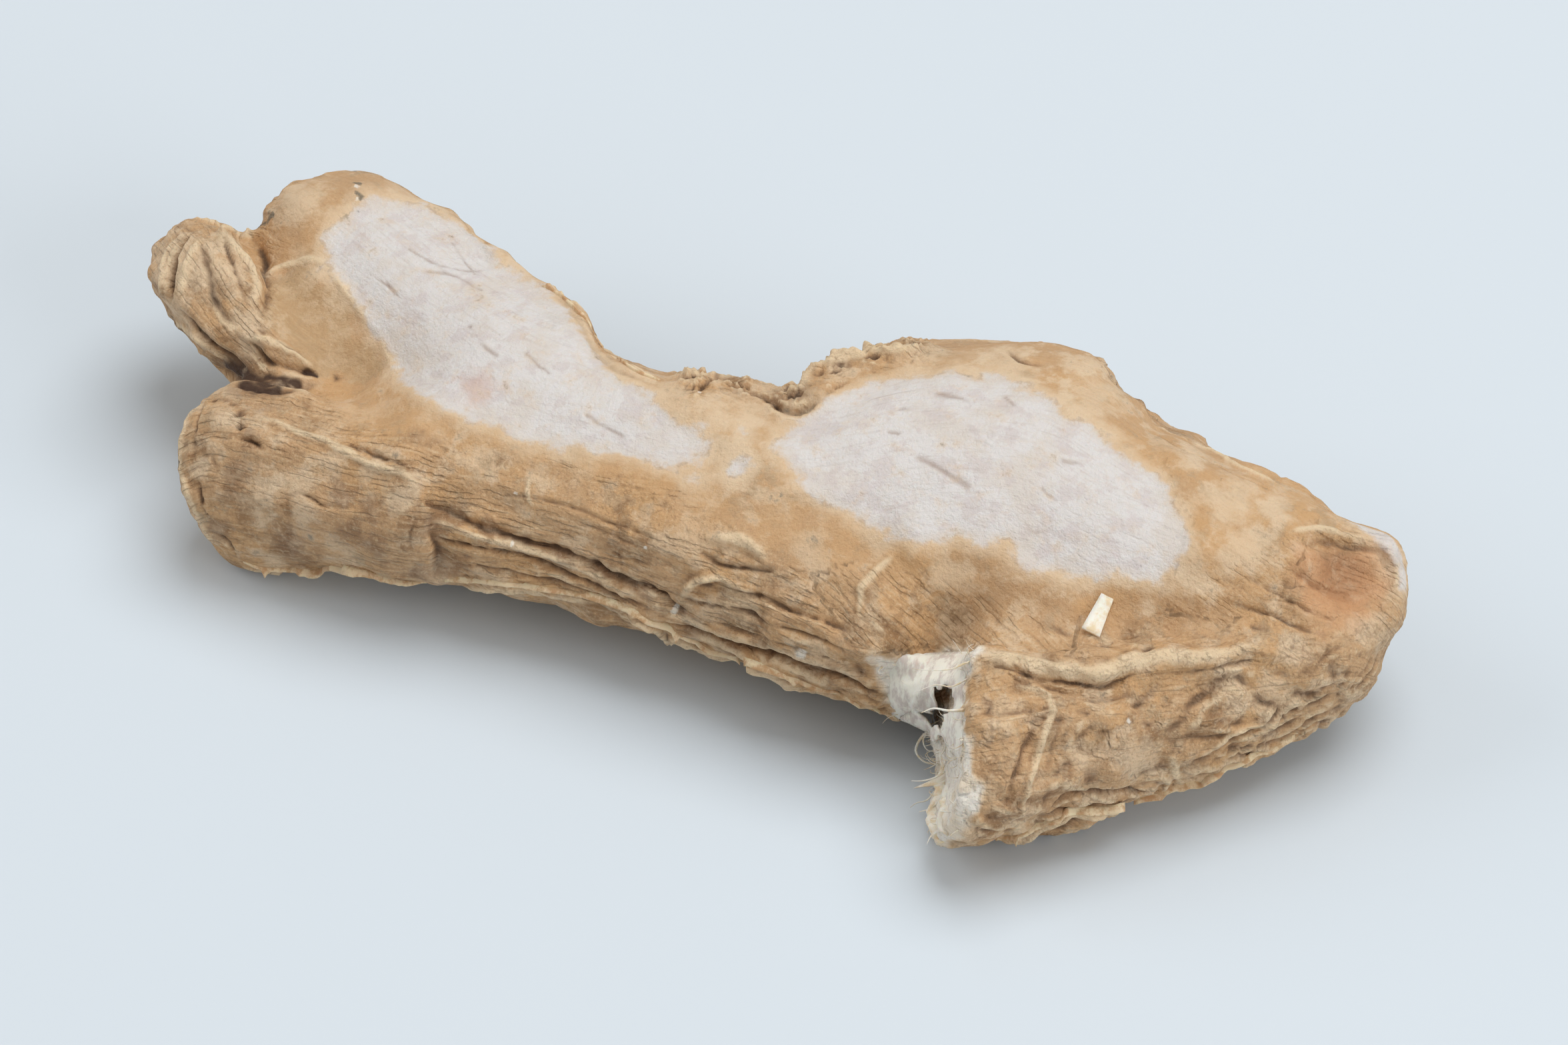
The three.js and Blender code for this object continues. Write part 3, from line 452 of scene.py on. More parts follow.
# ---- Sums on arrays of points ------------------------------------------------------------------------
# Whole numbers that scramble a corner of the lattice and its seed into a draw.
SCRAMBLE = (374761393, 668265263, 1442695041)
SEED_SCRAMBLE = 97003
STIRS = ((13, 1274126177), (15, 2246822519))
LOW_BITS = 0xFFFFFFFF


def lattice_noise(at, seed):
    """Smooth noise, about -1 to 1, of points that are one unit apart, from slopes drawn at whole numbers."""
    corner = np.floor(at).astype(np.int64)
    inside = at - corner
    fade = inside**3 * (inside * (inside * 6 - 15) + 10)
    total = np.zeros(len(at))
    for step in itertools.product((0, 1), repeat=3):
        cell = corner + step
        draw = (cell @ np.array(SCRAMBLE) + seed * SEED_SCRAMBLE) & LOW_BITS
        for places, factor in STIRS:
            draw = ((draw ^ (draw >> places)) * factor) & LOW_BITS
        slope = np.stack([draw & 1023, (draw >> 10) & 1023, (draw >> 20) & 1023], 1) / 511.5 - 1
        share = np.where(step, fade, 1 - fade).prod(1)
        total += share * (slope * (inside - step)).sum(1)
    return total * 1.4


def folded(at, seed):
    """The same noise folded over where it crosses zero, so that it has sharp valleys."""
    return np.abs(lattice_noise(at, seed))


def bell(gap, width):
    """1 on a point or line, falling away smoothly over a width."""
    return np.exp(-((gap / width) ** 2))


def smoothstep(low, high, x):
    """0 up to low and 1 from high on, smooth between; low may be the greater one."""
    t = np.clip((x - low) / (high - low), 0, 1)
    return t * t * (3 - 2 * t)


def smooth_line(stations, steps):
    """A Catmull-Rom line through rows of numbers, with so many steps between two rows."""
    rows = np.array(stations, float)
    rows = np.vstack([2 * rows[0] - rows[1], rows, 2 * rows[-1] - rows[-2]])
    line = []
    for before, start, end, after in zip(rows, rows[1:], rows[2:], rows[3:]):
        for t in np.arange(steps) / steps:
            line.append(
                start
                + 0.5 * t * (end - before)
                + t * t * (before - 2.5 * start + 2 * end - 0.5 * after)
                + 0.5 * t**3 * (3 * start - before - 3 * end + after)
            )
    line.append(rows[-2])
    return np.array(line)


def measure(limb, at):
    """Points measured on a limb: along it, beside and above its spine, and out of its smooth skin."""
    line = smooth_line(limb["stations"], SPINE_STEPS)
    spine, half = line[:, :3], line[:, 3:]
    run = np.diff(spine, axis=0)
    length = np.linalg.norm(run, axis=1)
    start_along = np.concatenate([[0], np.cumsum(length)])
    nearest = np.full(len(at), np.inf)
    step = np.zeros(len(at), int)
    share = np.zeros(len(at))
    for i in range(len(run)):
        t = np.clip((at - spine[i]) @ run[i] / length[i] ** 2, 0, 1)
        gap = ((at - spine[i] - t[:, None] * run[i]) ** 2).sum(1)
        nearer = gap < nearest
        nearest[nearer], step[nearer], share[nearer] = gap[nearer], i, t[nearer]
    size = half[step] * (1 - share[:, None]) + half[step + 1] * share[:, None]
    tangent = run[step] / length[step][:, None]
    side = np.cross((0, 0, 1), tangent)
    side /= np.linalg.norm(side, axis=1)[:, None]
    above = np.cross(tangent, side)
    offset = at - spine[step]
    along = (offset * tangent).sum(1)
    past = np.where((along < 0) & (step == 0), along, np.maximum(along - length[step], 0))
    cap = np.where(past < 0, limb["caps"][0], limb["caps"][1])
    beside, over = (offset * side).sum(1), (offset * above).sum(1)
    scaled = np.stack([past / cap, beside / size[:, 0], over / size[:, 1]], 1)
    reach = np.linalg.norm(scaled, axis=1)
    slope = np.linalg.norm(scaled / np.stack([cap, size[:, 0], size[:, 1]], 1), axis=1)
    grain = np.stack(
        [
            limb["grain_start"] + start_along[step] + share * length[step] + past,
            scaled[:, 1] * size[:, 0] / reach,
            scaled[:, 2] * size[:, 1] / reach,
        ],
        1,
    )
    return grain, reach * (reach - 1) / slope


def outline_depth(outline, points):
    """How far points lie inside a closed outline on the camera's plane, below zero outside."""
    gap = np.full(len(points), np.inf)
    crossed = np.zeros(len(points), bool)
    for (x0, y0), (x1, y1) in zip(outline, outline[1:] + outline[:1]):
        start, run = np.array((x0, y0)), np.array((x1 - x0, y1 - y0))
        t = np.clip((points - start) @ run / (run @ run), 0, 1)
        gap = np.minimum(gap, np.linalg.norm(points - start - t[:, None] * run, axis=1))
        level = (y0 > points[:, 1]) != (y1 > points[:, 1])
        with np.errstate(divide="ignore", invalid="ignore"):
            crossed ^= level & (points[:, 0] < x0 + (points[:, 1] - y0) / (y1 - y0) * run[0])
    return np.where(crossed, gap, -gap)


def averaged(values, edges, rounds):
    """Vertex values evened out over their neighbours, so many times."""
    count = np.bincount(edges.ravel(), minlength=len(values))
    for _ in range(rounds):
        total = np.bincount(edges[:, 0], values[edges[:, 1]], len(values))
        total += np.bincount(edges[:, 1], values[edges[:, 0]], len(values))
        values = 0.5 * values + 0.5 * total / count
    return values


# ---- The skin's mesh ---------------------------------------------------------------------------------
def read(items, name, width):
    """A property of a mesh's items as rows of numbers."""
    values = np.zeros(len(items) * width, np.int64 if name == "vertices" else np.float64)
    items.foreach_get(name, values)
    return values.reshape(-1, width)


def seen_from_eye(at):
    """Points in millimetres, as (across, up) on the camera's plane."""
    offset = at - np.array(EYE)
    scale = DISTANCE / -(offset @ np.array(BACK))
    return np.stack([offset @ np.array(RIGHT) * scale, offset @ np.array(UP) * scale], 1)


def laid_point(tree, across, up):
    """Where the camera's ray through a point of its plane meets the skin, or passes nearest to it."""
    target = AIM + RIGHT * across + UP * up
    ray = (target - EYE).normalized()
    hit = tree.ray_cast(EYE, ray)[0]
    if hit is None:
        steps = range(-SEARCH_REACH, SEARCH_REACH + 1, SEARCH_STEP)
        nearest = (tree.find_nearest(EYE + ray * (DISTANCE + step)) for step in steps)
        hit = min(nearest, key=lambda found: found[3])[0]
    return hit


def laid_line(tree, line, step=LAID_STEP):
    """An (across, up) line laid on the skin as points in millimetres."""
    if len(line) == 1:
        return np.array([laid_point(tree, *line[0])])
    laid = []
    for across, up in smooth_line(line, 10):
        hit = laid_point(tree, across, up)
        if not laid or (hit - laid[-1]).length > step:
            laid.append(hit)
    return np.array(laid)


def line_gap(laid, at, reach):
    """Gap from each point to a laid line, and how far along the line it is; gaps past reach stay infinite."""
    gap = np.full(len(at), np.inf)
    share = np.zeros(len(at))
    near = ((at > laid.min(0) - reach) & (at < laid.max(0) + reach)).all(1)
    some = at[near]
    best = np.linalg.norm(some - laid[0], axis=1)
    best_share = np.zeros(len(some))
    for i in range(len(laid) - 1):
        run = laid[i + 1] - laid[i]
        if np.linalg.norm(run) > LONGEST_RUN:
            continue
        t = np.clip((some - laid[i]) @ run / (run @ run), 0, 1)
        distance = np.linalg.norm(some - laid[i] - t[:, None] * run, axis=1)
        nearer = distance < best
        best[nearer] = distance[nearer]
        best_share[nearer] = (i + t[nearer]) / (len(laid) - 1)
    gap[near], share[near] = best, best_share
    return gap, share


def skin_tree(mesh):
    """A mesh's faces, in millimetres, for rays and nearest points."""
    at = read(mesh.vertices, "co", 3) / MM
    return BVHTree.FromPolygons([Vector(p) for p in at], [tuple(face.vertices) for face in mesh.polygons])


def add_object(name, data):
    """A new object in the scene."""
    made = bpy.data.objects.new(name, data)
    bpy.context.scene.collection.objects.link(made)
    return made


def smooth(bm, factor, rounds):
    """Evens out the vertices of a bmesh, so many times."""
    for _ in range(rounds):
        bmesh.ops.smooth_vert(
            bm, verts=bm.verts, factor=factor, use_axis_x=True, use_axis_y=True, use_axis_z=True
        )


def rounded_copy(node):
    """The CAD solid's mesh as quads, subdivided smooth, as a new object."""
    bm = bmesh.new()
    bm.from_mesh(node.data)
    bmesh.ops.remove_doubles(bm, verts=bm.verts, dist=DOUBLES * MM)
    bmesh.ops.join_triangles(
        bm, faces=bm.faces, angle_face_threshold=math.pi, angle_shape_threshold=math.pi
    )
    coarse = bpy.data.meshes.new("coarse_skin")
    bm.to_mesh(coarse)
    bm.free()
    piece = add_object("ginger_skin", coarse)
    rounding = piece.modifiers.new("rounding", "SUBSURF")
    rounding.levels = rounding.render_levels = 1
    finished = piece.evaluated_get(bpy.context.evaluated_depsgraph_get())
    shape = bpy.data.meshes.new_from_object(finished)
    piece.modifiers.clear()
    piece.data = shape
    shape.name = "ginger_skin"
    bpy.data.meshes.remove(coarse)
    return piece


def shift(mesh):
    """Moves the solid's outline to where the dried piece has it."""
    at = read(mesh.vertices, "co", 3) / MM
    plane = seen_from_eye(at)
    axes = np.array((RIGHT, UP, BACK))
    for point, radius, move in SHIFTS:
        away = np.linalg.norm(plane - point, axis=1)
        at += bell(away, radius)[:, None] * (np.array(move) @ axes)
    at[:, 2] = np.maximum(at[:, 2], 0.0)
    mesh.vertices.foreach_set("co", (at * MM).ravel())
    mesh.update()


def refine(mesh, wanted):
    """Halves the edges of the faces round the wanted vertices."""
    bm = bmesh.new()
    bm.from_mesh(mesh)
    bm.verts.ensure_lookup_table()
    faces = {face for row in np.flatnonzero(wanted) for face in bm.verts[row].link_faces}
    edges = list({edge for face in faces for edge in face.edges})
    bmesh.ops.subdivide_edges(bm, edges=edges, cuts=1, use_grid_fill=True)
    smooth(bm, REFINE_SMOOTHING, 2)
    bm.to_mesh(mesh)
    bm.free()


def near_features(mesh, tree):
    """Which vertices are near enough to a fold, hem or tear to need a finer mesh."""
    at = read(mesh.vertices, "co", 3) / MM
    near = np.zeros(len(at), bool)
    for line, width, *_ in GROOVES + RIDGES + SCRATCHES:
        near |= line_gap(laid_line(tree, line, 1.0), at, FINE_REACH)[0] < 1.1 * width + 0.1
    near |= outline_depth(WEB, seen_from_eye(at)) > -0.2
    near |= spots(seen_from_eye(at), GNARLED) > 0.3
    return near & (read(mesh.vertices, "normal", 3) @ np.array(BACK) > -0.3)


def shrivel(grain, seed, knobby):
    """Height of the dried skin's wrinkles at grain points: creases along the limb, and a share of knobs."""
    warp = np.stack(
        [
            2.4 * lattice_noise(grain / (9, 6, 6), seed),
            0.9 * lattice_noise(grain / (6, 3, 3), seed + 1),
            0.9 * lattice_noise(grain / (6, 3, 3), seed + 2),
        ],
        1,
    )
    bent = grain + warp
    strength = 0.8 + 0.7 * lattice_noise(grain / (11, 7, 7), seed + 3)
    folds = folded(bent / (12, 2.6, 2.6), seed + 4)
    creases = folded(bent / (6, 1.3, 1.3), seed + 5)
    lines = folded(bent / (3.2, 0.75, 0.75), seed + 6)
    puckers = folded(bent / (1.7, 3.0, 3.0), seed + 7)
    puckered = smoothstep(0.0, 0.5, lattice_noise(grain / (8, 5, 5), seed + 8))
    along = 0.75 * folds + 0.62 * creases + 0.4 * lines + 0.3 * puckers * puckered - 0.36
    curls = np.sin(15 * lattice_noise(bent / (4.4, 3.2, 3.2), seed + 9))
    lumps = folded(bent / (3.2, 2.3, 2.3), seed + 10)
    small_lumps = folded(bent / (1.3, 0.9, 0.9), seed + 11)
    knobs = 0.32 * curls + 0.7 * lumps + 0.5 * small_lumps + 0.5 * folds - 0.4
    return strength * ((1 - knobby) * along + knobby * knobs)


def grain_and_wrinkles(at):
    """Each point's place in the grain of its nearest limb, how surely it is that limb's, and its wrinkles."""
    wrinkles = np.zeros(len(at))
    total = np.zeros(len(at))
    knobs = np.zeros(len(at))
    measures = [measure(limb, at) for limb in LIMBS.values()]
    outs = np.stack([out for _, out in measures])
    nearest = outs.min(0)
    grain = np.zeros_like(at)
    for number, (limb, (limb_grain, out)) in enumerate(zip(LIMBS.values(), measures)):
        share = np.exp(-(out - nearest) / LIMB_BLEND)
        wrinkles += share * shrivel(limb_grain, 20 * number + 3, limb["knobby"])
        knobs += share * limb["knobby"]
        total += share
        arc = np.arctan2(limb_grain[:, 1], limb_grain[:, 2]) * np.hypot(limb_grain[:, 1], limb_grain[:, 2])
        own = out == nearest
        grain[own] = np.stack([limb_grain[:, 0], arc, np.full(len(at), 9.0 * number)], 1)[own]
    lead = np.sort(outs, axis=0)
    return grain, lead[1] - lead[0], wrinkles / total, knobs / total


def spots(plane, places):
    """Soft round spots on the camera's plane, each a point and a radius."""
    mask = np.zeros(len(plane))
    for across, up, radius in places:
        away = np.linalg.norm(plane - (across, up), axis=1)
        mask = np.maximum(mask, bell(away, radius))
    return mask


def dress_skin(mesh, tree):
    """Gives the fine skin its wrinkles, folds, scraped places and break, and the masks its material reads."""
    at = read(mesh.vertices, "co", 3) / MM
    normal = read(mesh.vertices, "normal", 3)
    edges = read(mesh.edges, "vertices", 2)
    plane = seen_from_eye(at)
    facing = smoothstep(0.05, 0.3, normal @ np.array(BACK))
    seen = smoothstep(-0.25, 0.0, normal @ np.array(BACK))
    ragged = 0.45 * lattice_noise(at / 1.6, 301) + 0.3 * lattice_noise(at / 0.7, 302)
    grain, lead, wrinkles, knobs = grain_and_wrinkles(at)
    steady = smoothstep(0.1, 1.0, lead + 0.4 * ragged)
    clear = np.ones(len(at))
    for number, (outline, degrees, share) in enumerate(GRAIN_PLACES):
        inside = np.where(facing > 0.2, outline_depth(outline, plane) + ragged, -9.0)
        turn = math.radians(degrees)
        along = plane @ (math.cos(turn), math.sin(turn))
        beside = plane @ (-math.sin(turn), math.cos(turn))
        grain[inside > 0] = np.stack([along, beside, np.full(len(at), 60.0 + 9 * number)], 1)[inside > 0]
        steady = np.where(inside > 0, 1, steady) * smoothstep(0.0, 0.5, np.abs(inside))
        calm = smoothstep(-1.5, 1.0, inside)
        bent = np.stack([along, beside + 1.2 * lattice_noise(at / 4, 351), np.full(len(at), 9.0 * number)], 1)
        folds = folded(bent / (4.5, 1.3, 1), 352) + 0.5 * folded(bent / (2.6, 0.7, 1), 353)
        wrinkles = wrinkles * (1 - 0.75 * calm) + calm * share * (0.9 * folds - 0.35)
        knobs = knobs * (1 - calm)
        clear = clear * (1 - (1 - share) * calm)

    frayed = 0.45 * ragged + 0.4 * lattice_noise(at / 3.2, 304)
    scraped_depth = np.max([outline_depth(outline, plane) for outline in SCRAPED], axis=0)
    for across, up, radius in SCRAPED_SPOTS:
        scraped_depth = np.maximum(scraped_depth, radius - np.linalg.norm(plane - (across, up), axis=1))
    gnarled = seen * spots(plane, GNARLED)
    scraped_depth += frayed - 3 * gnarled
    scraped = facing * smoothstep(-0.4, 0.5, scraped_depth)
    web = facing * smoothstep(-0.9, 0.7, outline_depth(WEB, plane) + 1.2 * ragged)
    socket = facing * smoothstep(-1.6, 1.4, outline_depth(SOCKET, plane) + 1.5 * ragged)
    behind = (at - SNAP_POINT) @ SNAP_NORMAL
    broken = smoothstep(0.2, 0.75, normal @ SNAP_NORMAL + 0.3 * ragged) * smoothstep(-1.6, -0.5, behind)
    broken *= (
        smoothstep(12, 14, at[:, 0]) * smoothstep(24, 22, at[:, 0]) * smoothstep(-8.6, -9.3, plane[:, 1])
    )
    facet = smoothstep(-0.6, 0.5, outline_depth(BREAK, plane) + 0.9 * ragged) * smoothstep(-5.0, -3.0, behind)
    broken = facing * facet + (1 - facing) * broken
    torn = np.maximum(web, broken)
    holes = facing * spots(plane, [(across, up, 1.1 * radius) for across, up, radius in MEMBRANE_HOLES])
    torn *= 1 - smoothstep(0.3, 0.6, holes)
    warm = facing * spots(plane, WARM)
    pale = facing * spots(plane, PALE)

    edge_line = smooth_line(SMOOTH_EDGE, 8)
    below = np.interp(plane[:, 0], edge_line[:, 0], edge_line[:, 1]) - plane[:, 1] + 1.6 * ragged
    steep = smoothstep(0.8, 0.4, normal[:, 2] + 0.2 * lattice_noise(at / 7, 341))
    wrinkled = facing * smoothstep(-0.5, 0.7, below) + (1 - facing) * np.maximum(steep, 0.5)
    wrinkled = np.maximum(wrinkled, gnarled)
    on_bud = facing * smoothstep(-33.5, -35.5, plane[:, 0]) * smoothstep(9, 11, plane[:, 1])
    wrinkled = np.maximum(wrinkled, on_bud)

    keep = KEPT_WRINKLES
    for across, up, radius, share in CALM:
        calmed = 1 - (1 - share) * facing * spots(plane, [(across, up, radius)])
        keep = keep * calmed
        clear = clear * calmed
    shown = SMOOTH_WRINKLES + (1 - SMOOTH_WRINKLES) * wrinkled
    height = keep * wrinkles * shown * (1 - 0.92 * scraped) * (1 - 0.6 * torn) - 0.14 * scraped
    height += 0.12 * lattice_noise(at / 2.6, 303) * (1 - scraped)
    crumbs = folded(at / (3.0, 1.2, 1.0), 305) + 0.5 * folded(at / 0.55, 306)
    height += gnarled * (1.5 * crumbs - 0.5)
    scratch = lattice_noise(grain / (4, 0.5, 0.5), 311) + 0.6 * lattice_noise(grain / (1.5, 0.4, 0.4), 312)
    height += scraped * (0.03 * steady * scratch + 0.08 * lattice_noise(at / 3.5, 313))
    fuzz = folded(at / (0.8, 1.6, 1.6), 314) + 0.6 * folded(at / (0.4, 0.8, 0.8), 315)
    height += torn * (0.4 * fuzz - 0.25)

    swayed = at + 0.3 * np.stack([lattice_noise(at / 3.2, 316 + i) for i in range(3)], 1)
    swayed += 0.1 * np.stack([lattice_noise(at / 0.7, 324 + i) for i in range(3)], 1)
    uneven = 1 + 0.6 * lattice_noise(at / 1.4, 321) + 0.3 * lattice_noise(at / 0.6, 322)
    uneven = np.maximum(uneven, 0.3)
    crease_and_shade = np.zeros(len(at))
    pale_crest_and_highlight = np.zeros(len(at))

    def laid(line, reach):
        """The gap to a line laid on the skin, and how the line fades at its ends and where it turns away."""
        gap, share = line_gap(laid_line(tree, line), swayed, reach)
        return gap, seen * np.sqrt(np.clip(np.sin(math.pi * (0.03 + 0.94 * share)), 0, 1))

    for line, width, depth in GROOVES:
        gap, taper = laid(line, 5 * width)
        valley = taper * bell(gap, width * uneven)
        crack = taper * bell(gap, 0.45 * width * uneven + 0.04)
        lips = 0.15 * taper * bell(gap - 2.2 * width, width)
        height -= depth * (0.6 * valley + 0.4 * crack - lips)
        # The groove's valley is coloured darker: partly the skin's own colour, partly painted shade.
        crease_and_shade = np.maximum(crease_and_shade, min(1, 0.4 + depth) * (0.45 * valley + 0.55 * crack))
    for line, width, tall in RIDGES:
        gap, taper = laid(line, 5 * width)
        crest = taper * bell(gap, width)
        height += tall * uneven * crest
        pale_crest_and_highlight = np.maximum(pale_crest_and_highlight, crest)
    for point, radius, depth in PITS:
        pit = bell(line_gap(laid_line(tree, [point]), at, 4 * radius)[0], radius)
        height -= depth * pit
        # The pit is coloured darker: partly the skin's own colour, partly painted shade.
        crease_and_shade = np.maximum(crease_and_shade, pit)
    scratched = np.zeros(len(at))
    for line, width in SCRATCHES:
        scratched = np.maximum(scratched, bell(laid(line, 5 * width)[0], width * uneven))
    height -= 0.06 * scratched
    grime = np.zeros(len(at))
    patchy = smoothstep(-0.6, 0.2, 2 * ragged + 0.2)
    for line, width in GRIMY:
        grime = np.maximum(grime, bell(laid(line, 4 * width)[0], width) * patchy)
    shaded = np.zeros(len(at))
    for line, width in SHADED:
        shaded = np.maximum(shaded, bell(laid(line, 4 * width)[0], width * uneven))

    even = averaged(height, edges, 12)
    hollow = smoothstep(0.01, 0.16, even - height)
    proud = smoothstep(0.02, 0.16, height - even)
    moved = at + normal * height[:, None]
    moved[:, 2] = np.maximum(moved[:, 2], 0.0)
    mesh.vertices.foreach_set("co", (moved * MM).ravel())
    mesh.polygons.foreach_set("use_smooth", np.ones(len(mesh.polygons), bool))
    mesh.update()

    # Painted shade: the skin is coloured darker in the hollows of its relief, most where it is wrinkled.
    cavity_shade = (0.7 + 0.25 * gnarled) * hollow * (1 - scraped) * (0.3 + 0.7 * wrinkled)
    masks = {
        "scraped": facing * np.clip(0.5 + scraped_depth / 3, 0, 1),
        "torn": torn,
        "socket": np.maximum(socket, holes),
        "crease_and_shade": np.clip(np.maximum(crease_and_shade, cavity_shade), 0, 1),
        "shaded": shaded,
        # Pale crests of the ridges and of the relief: partly paler skin, partly a painted highlight.
        "pale_crest_and_highlight": np.clip(np.maximum(pale_crest_and_highlight, 0.55 * proud * (1 - scraped)), 0, 1),
        "warm": warm,
        "pale": pale,
        "wrinkled": wrinkled,
        "steady": steady,
        "lined": clear * wrinkled * steady * (1 - 0.85 * knobs),
        "crossed": wrinkled * knobs,
        # Partly the skin's own colour, partly painted shade in hollows and in the fork.
        "brown_and_shade": np.maximum(facing * spots(plane, BROWN_AND_SHADE_SPOTS), 0.5 * gnarled),
        "dull": facing * spots(plane, DULL),
        "grime": grime,
        "scratched": scratched,
        "flecked": facing * spots(plane, FLECKS),
        "blush": facing * spots(plane, [BLUSH]),
    }
    for name, values in masks.items():
        mesh.attributes.new(name, "FLOAT", "POINT").data.foreach_set("value", values.astype(np.float32))
    directions = mesh.attributes.new("grain", "FLOAT_VECTOR", "POINT").data
    directions.foreach_set("vector", grain.astype(np.float32).ravel())
    masks["broken"] = broken
    masks["web"] = web * (1 - smoothstep(0.3, 0.6, holes))
    return moved, masks


# ---- Materials ---------------------------------------------------------------------------------------
def tint(red, green, blue):
    """A display colour from 0 to 255 as the linear colour that a shader takes."""
    shares = (red / 255, green / 255, blue / 255)
    return tuple(c / 12.92 if c <= 0.04045 else ((c + 0.055) / 1.055) ** 2.4 for c in shares) + (1.0,)


TAN = tint(196, 158, 117)
DARK_TAN = tint(145, 109, 72)
WARM_TAN = tint(203, 161, 114)
PALE_TAN = tint(224, 199, 167)
DULL_TAN = tint(188, 155, 114)
# Used for the wrinkle lines, grit and dark spots, and for painted shade in creases and hollows.
WRINKLE_AND_SHADE_BROWN = tint(127, 92, 62)
# Used for the freckles, and for the deepest painted shade in creases and hollows.
SHADE_AND_FRECKLE_BROWN = tint(86, 61, 40)
SHADE_BROWN = tint(60, 34, 16)
# Cream of fibres, hems and pale crests, also used for the painted highlight on the crests.
CREAM_AND_HIGHLIGHT = tint(231, 208, 173)
SCRAPED_PALE = tint(222, 217, 214)
SCRAPED_BLUSH = tint(204, 190, 187)
SCRAPED_WARM = tint(215, 203, 191)
SCRATCH_BROWN = tint(152, 124, 106)
BLUSH_PINK = tint(204, 166, 150)
TORN_WHITE = tint(244, 237, 225)
SOCKET_BROWN = tint(212, 156, 110)
GRIME = tint(104, 98, 84)
GREY_TAN = tint(177, 151, 119)
TORN_LILAC = tint(212, 199, 190)
TORN_SHADE = tint(170, 148, 132)
FLOOR_PALE = tint(212, 221, 229)
# The masks on the skin's vertices that its material reads.
SKIN_MASKS = (
    "scraped", "torn", "socket", "crease_and_shade", "pale_crest_and_highlight", "warm", "pale", "wrinkled", "lined", "crossed", "grime",
    "blush", "scratched", "brown_and_shade", "dull", "steady", "shaded", "flecked",
)


def wire(tree, made, inputs):
    """Sets a node's inputs, by name or number, to values or to other nodes' outputs."""
    for key, value in inputs.items():
        if isinstance(value, bpy.types.NodeSocket):
            tree.links.new(value, made.inputs[key])
        else:
            made.inputs[key].default_value = value


def put(tree, kind, inputs=None, **settings):
    """Adds a node with its settings and inputs."""
    made = tree.nodes.new(kind)
    for name, value in settings.items():
        setattr(made, name, value)
    wire(tree, made, inputs or {})
    return made


def math_node(tree, operation, *values):
    """A sum on numbers, each plain or from another node."""
    return put(tree, "ShaderNodeMath", dict(enumerate(values)), operation=operation).outputs[0]


def vector_node(tree, operation, *values):
    """A sum on vectors, each plain or from another node."""
    return put(tree, "ShaderNodeVectorMath", dict(enumerate(values)), operation=operation).outputs[0]


def noise_node(tree, at, scale, detail=2.0, roughness=0.5):
    """The outputs of a noise texture at a place."""
    inputs = {"Vector": at, "Scale": scale, "Detail": detail, "Roughness": roughness}
    return put(tree, "ShaderNodeTexNoise", inputs).outputs


def ramp(tree, value, low, high):
    """A value brought smoothly from 0 at low to 1 at high; low may be the greater one."""
    inputs = {0: value, 1: low, 2: high}
    return put(tree, "ShaderNodeMapRange", inputs, interpolation_type="SMOOTHSTEP").outputs[0]


def spread(tree, value, low, high):
    """A share from 0 to 1 spread evenly from low to high."""
    return put(tree, "ShaderNodeMapRange", {0: value, 3: low, 4: high}).outputs[0]


def times(tree, a, b):
    """Two shares multiplied, kept between 0 and 1."""
    return put(tree, "ShaderNodeMath", {0: a, 1: b}, operation="MULTIPLY", use_clamp=True).outputs[0]


def mix(tree, share, low, high):
    """A colour between two others."""
    return put(tree, "ShaderNodeMix", {0: share, 6: low, 7: high}, data_type="RGBA").outputs[2]


def layered(tree, base, layers):
    """A colour with others laid over it in turn: each layer is a colour and the shares that thin it."""
    for colour, share, *others in layers:
        for other in others:
            share = times(tree, share, other)
        base = mix(tree, share, base, colour)
    return base


def new_group(name, inputs, outputs):
    """An empty shader group: inputs with a number's default, or None for a vector, and number outputs."""
    group = bpy.data.node_groups.new(name, "ShaderNodeTree")
    for label, default in inputs.items():
        kind = "NodeSocketVector" if default is None else "NodeSocketFloat"
        socket = group.interface.new_socket(label, in_out="INPUT", socket_type=kind)
        if default is not None:
            socket.default_value = default
    for label in outputs:
        group.interface.new_socket(label, in_out="OUTPUT", socket_type="NodeSocketFloat")
    return group, group.nodes.new("NodeGroupInput").outputs, group.nodes.new("NodeGroupOutput").inputs


def wrinkle_lines_group():
    """Thin creases that wander along the grain: a mask of their lines, and the height of the skin between."""
    inputs = {"Grain": None, "Spacing": 1.5, "Stretch": 5.0, "Width": 0.04}
    group, given, made = new_group("wrinkle_lines", inputs, ("Lines", "Height"))
    per = math_node(group, "DIVIDE", 1.0, given["Spacing"])
    along = math_node(group, "DIVIDE", per, given["Stretch"])
    scale = put(group, "ShaderNodeCombineXYZ", {0: along, 1: per, 2: per}).outputs[0]
    cells = vector_node(group, "MULTIPLY", given["Grain"], scale)
    sway = noise_node(group, cells, 0.45)["Color"]
    bent = vector_node(group, "MULTIPLY_ADD", sway, (1.6, 1.6, 1.6), cells)
    noise = noise_node(group, bent, 1.0, 2.5, 0.55)["Fac"]
    away = math_node(group, "ABSOLUTE", math_node(group, "SUBTRACT", noise, 0.5))
    group.links.new(ramp(group, away, given["Width"], 0.0), made["Lines"])
    group.links.new(ramp(group, away, 0.0, 0.16), made["Height"])
    return group


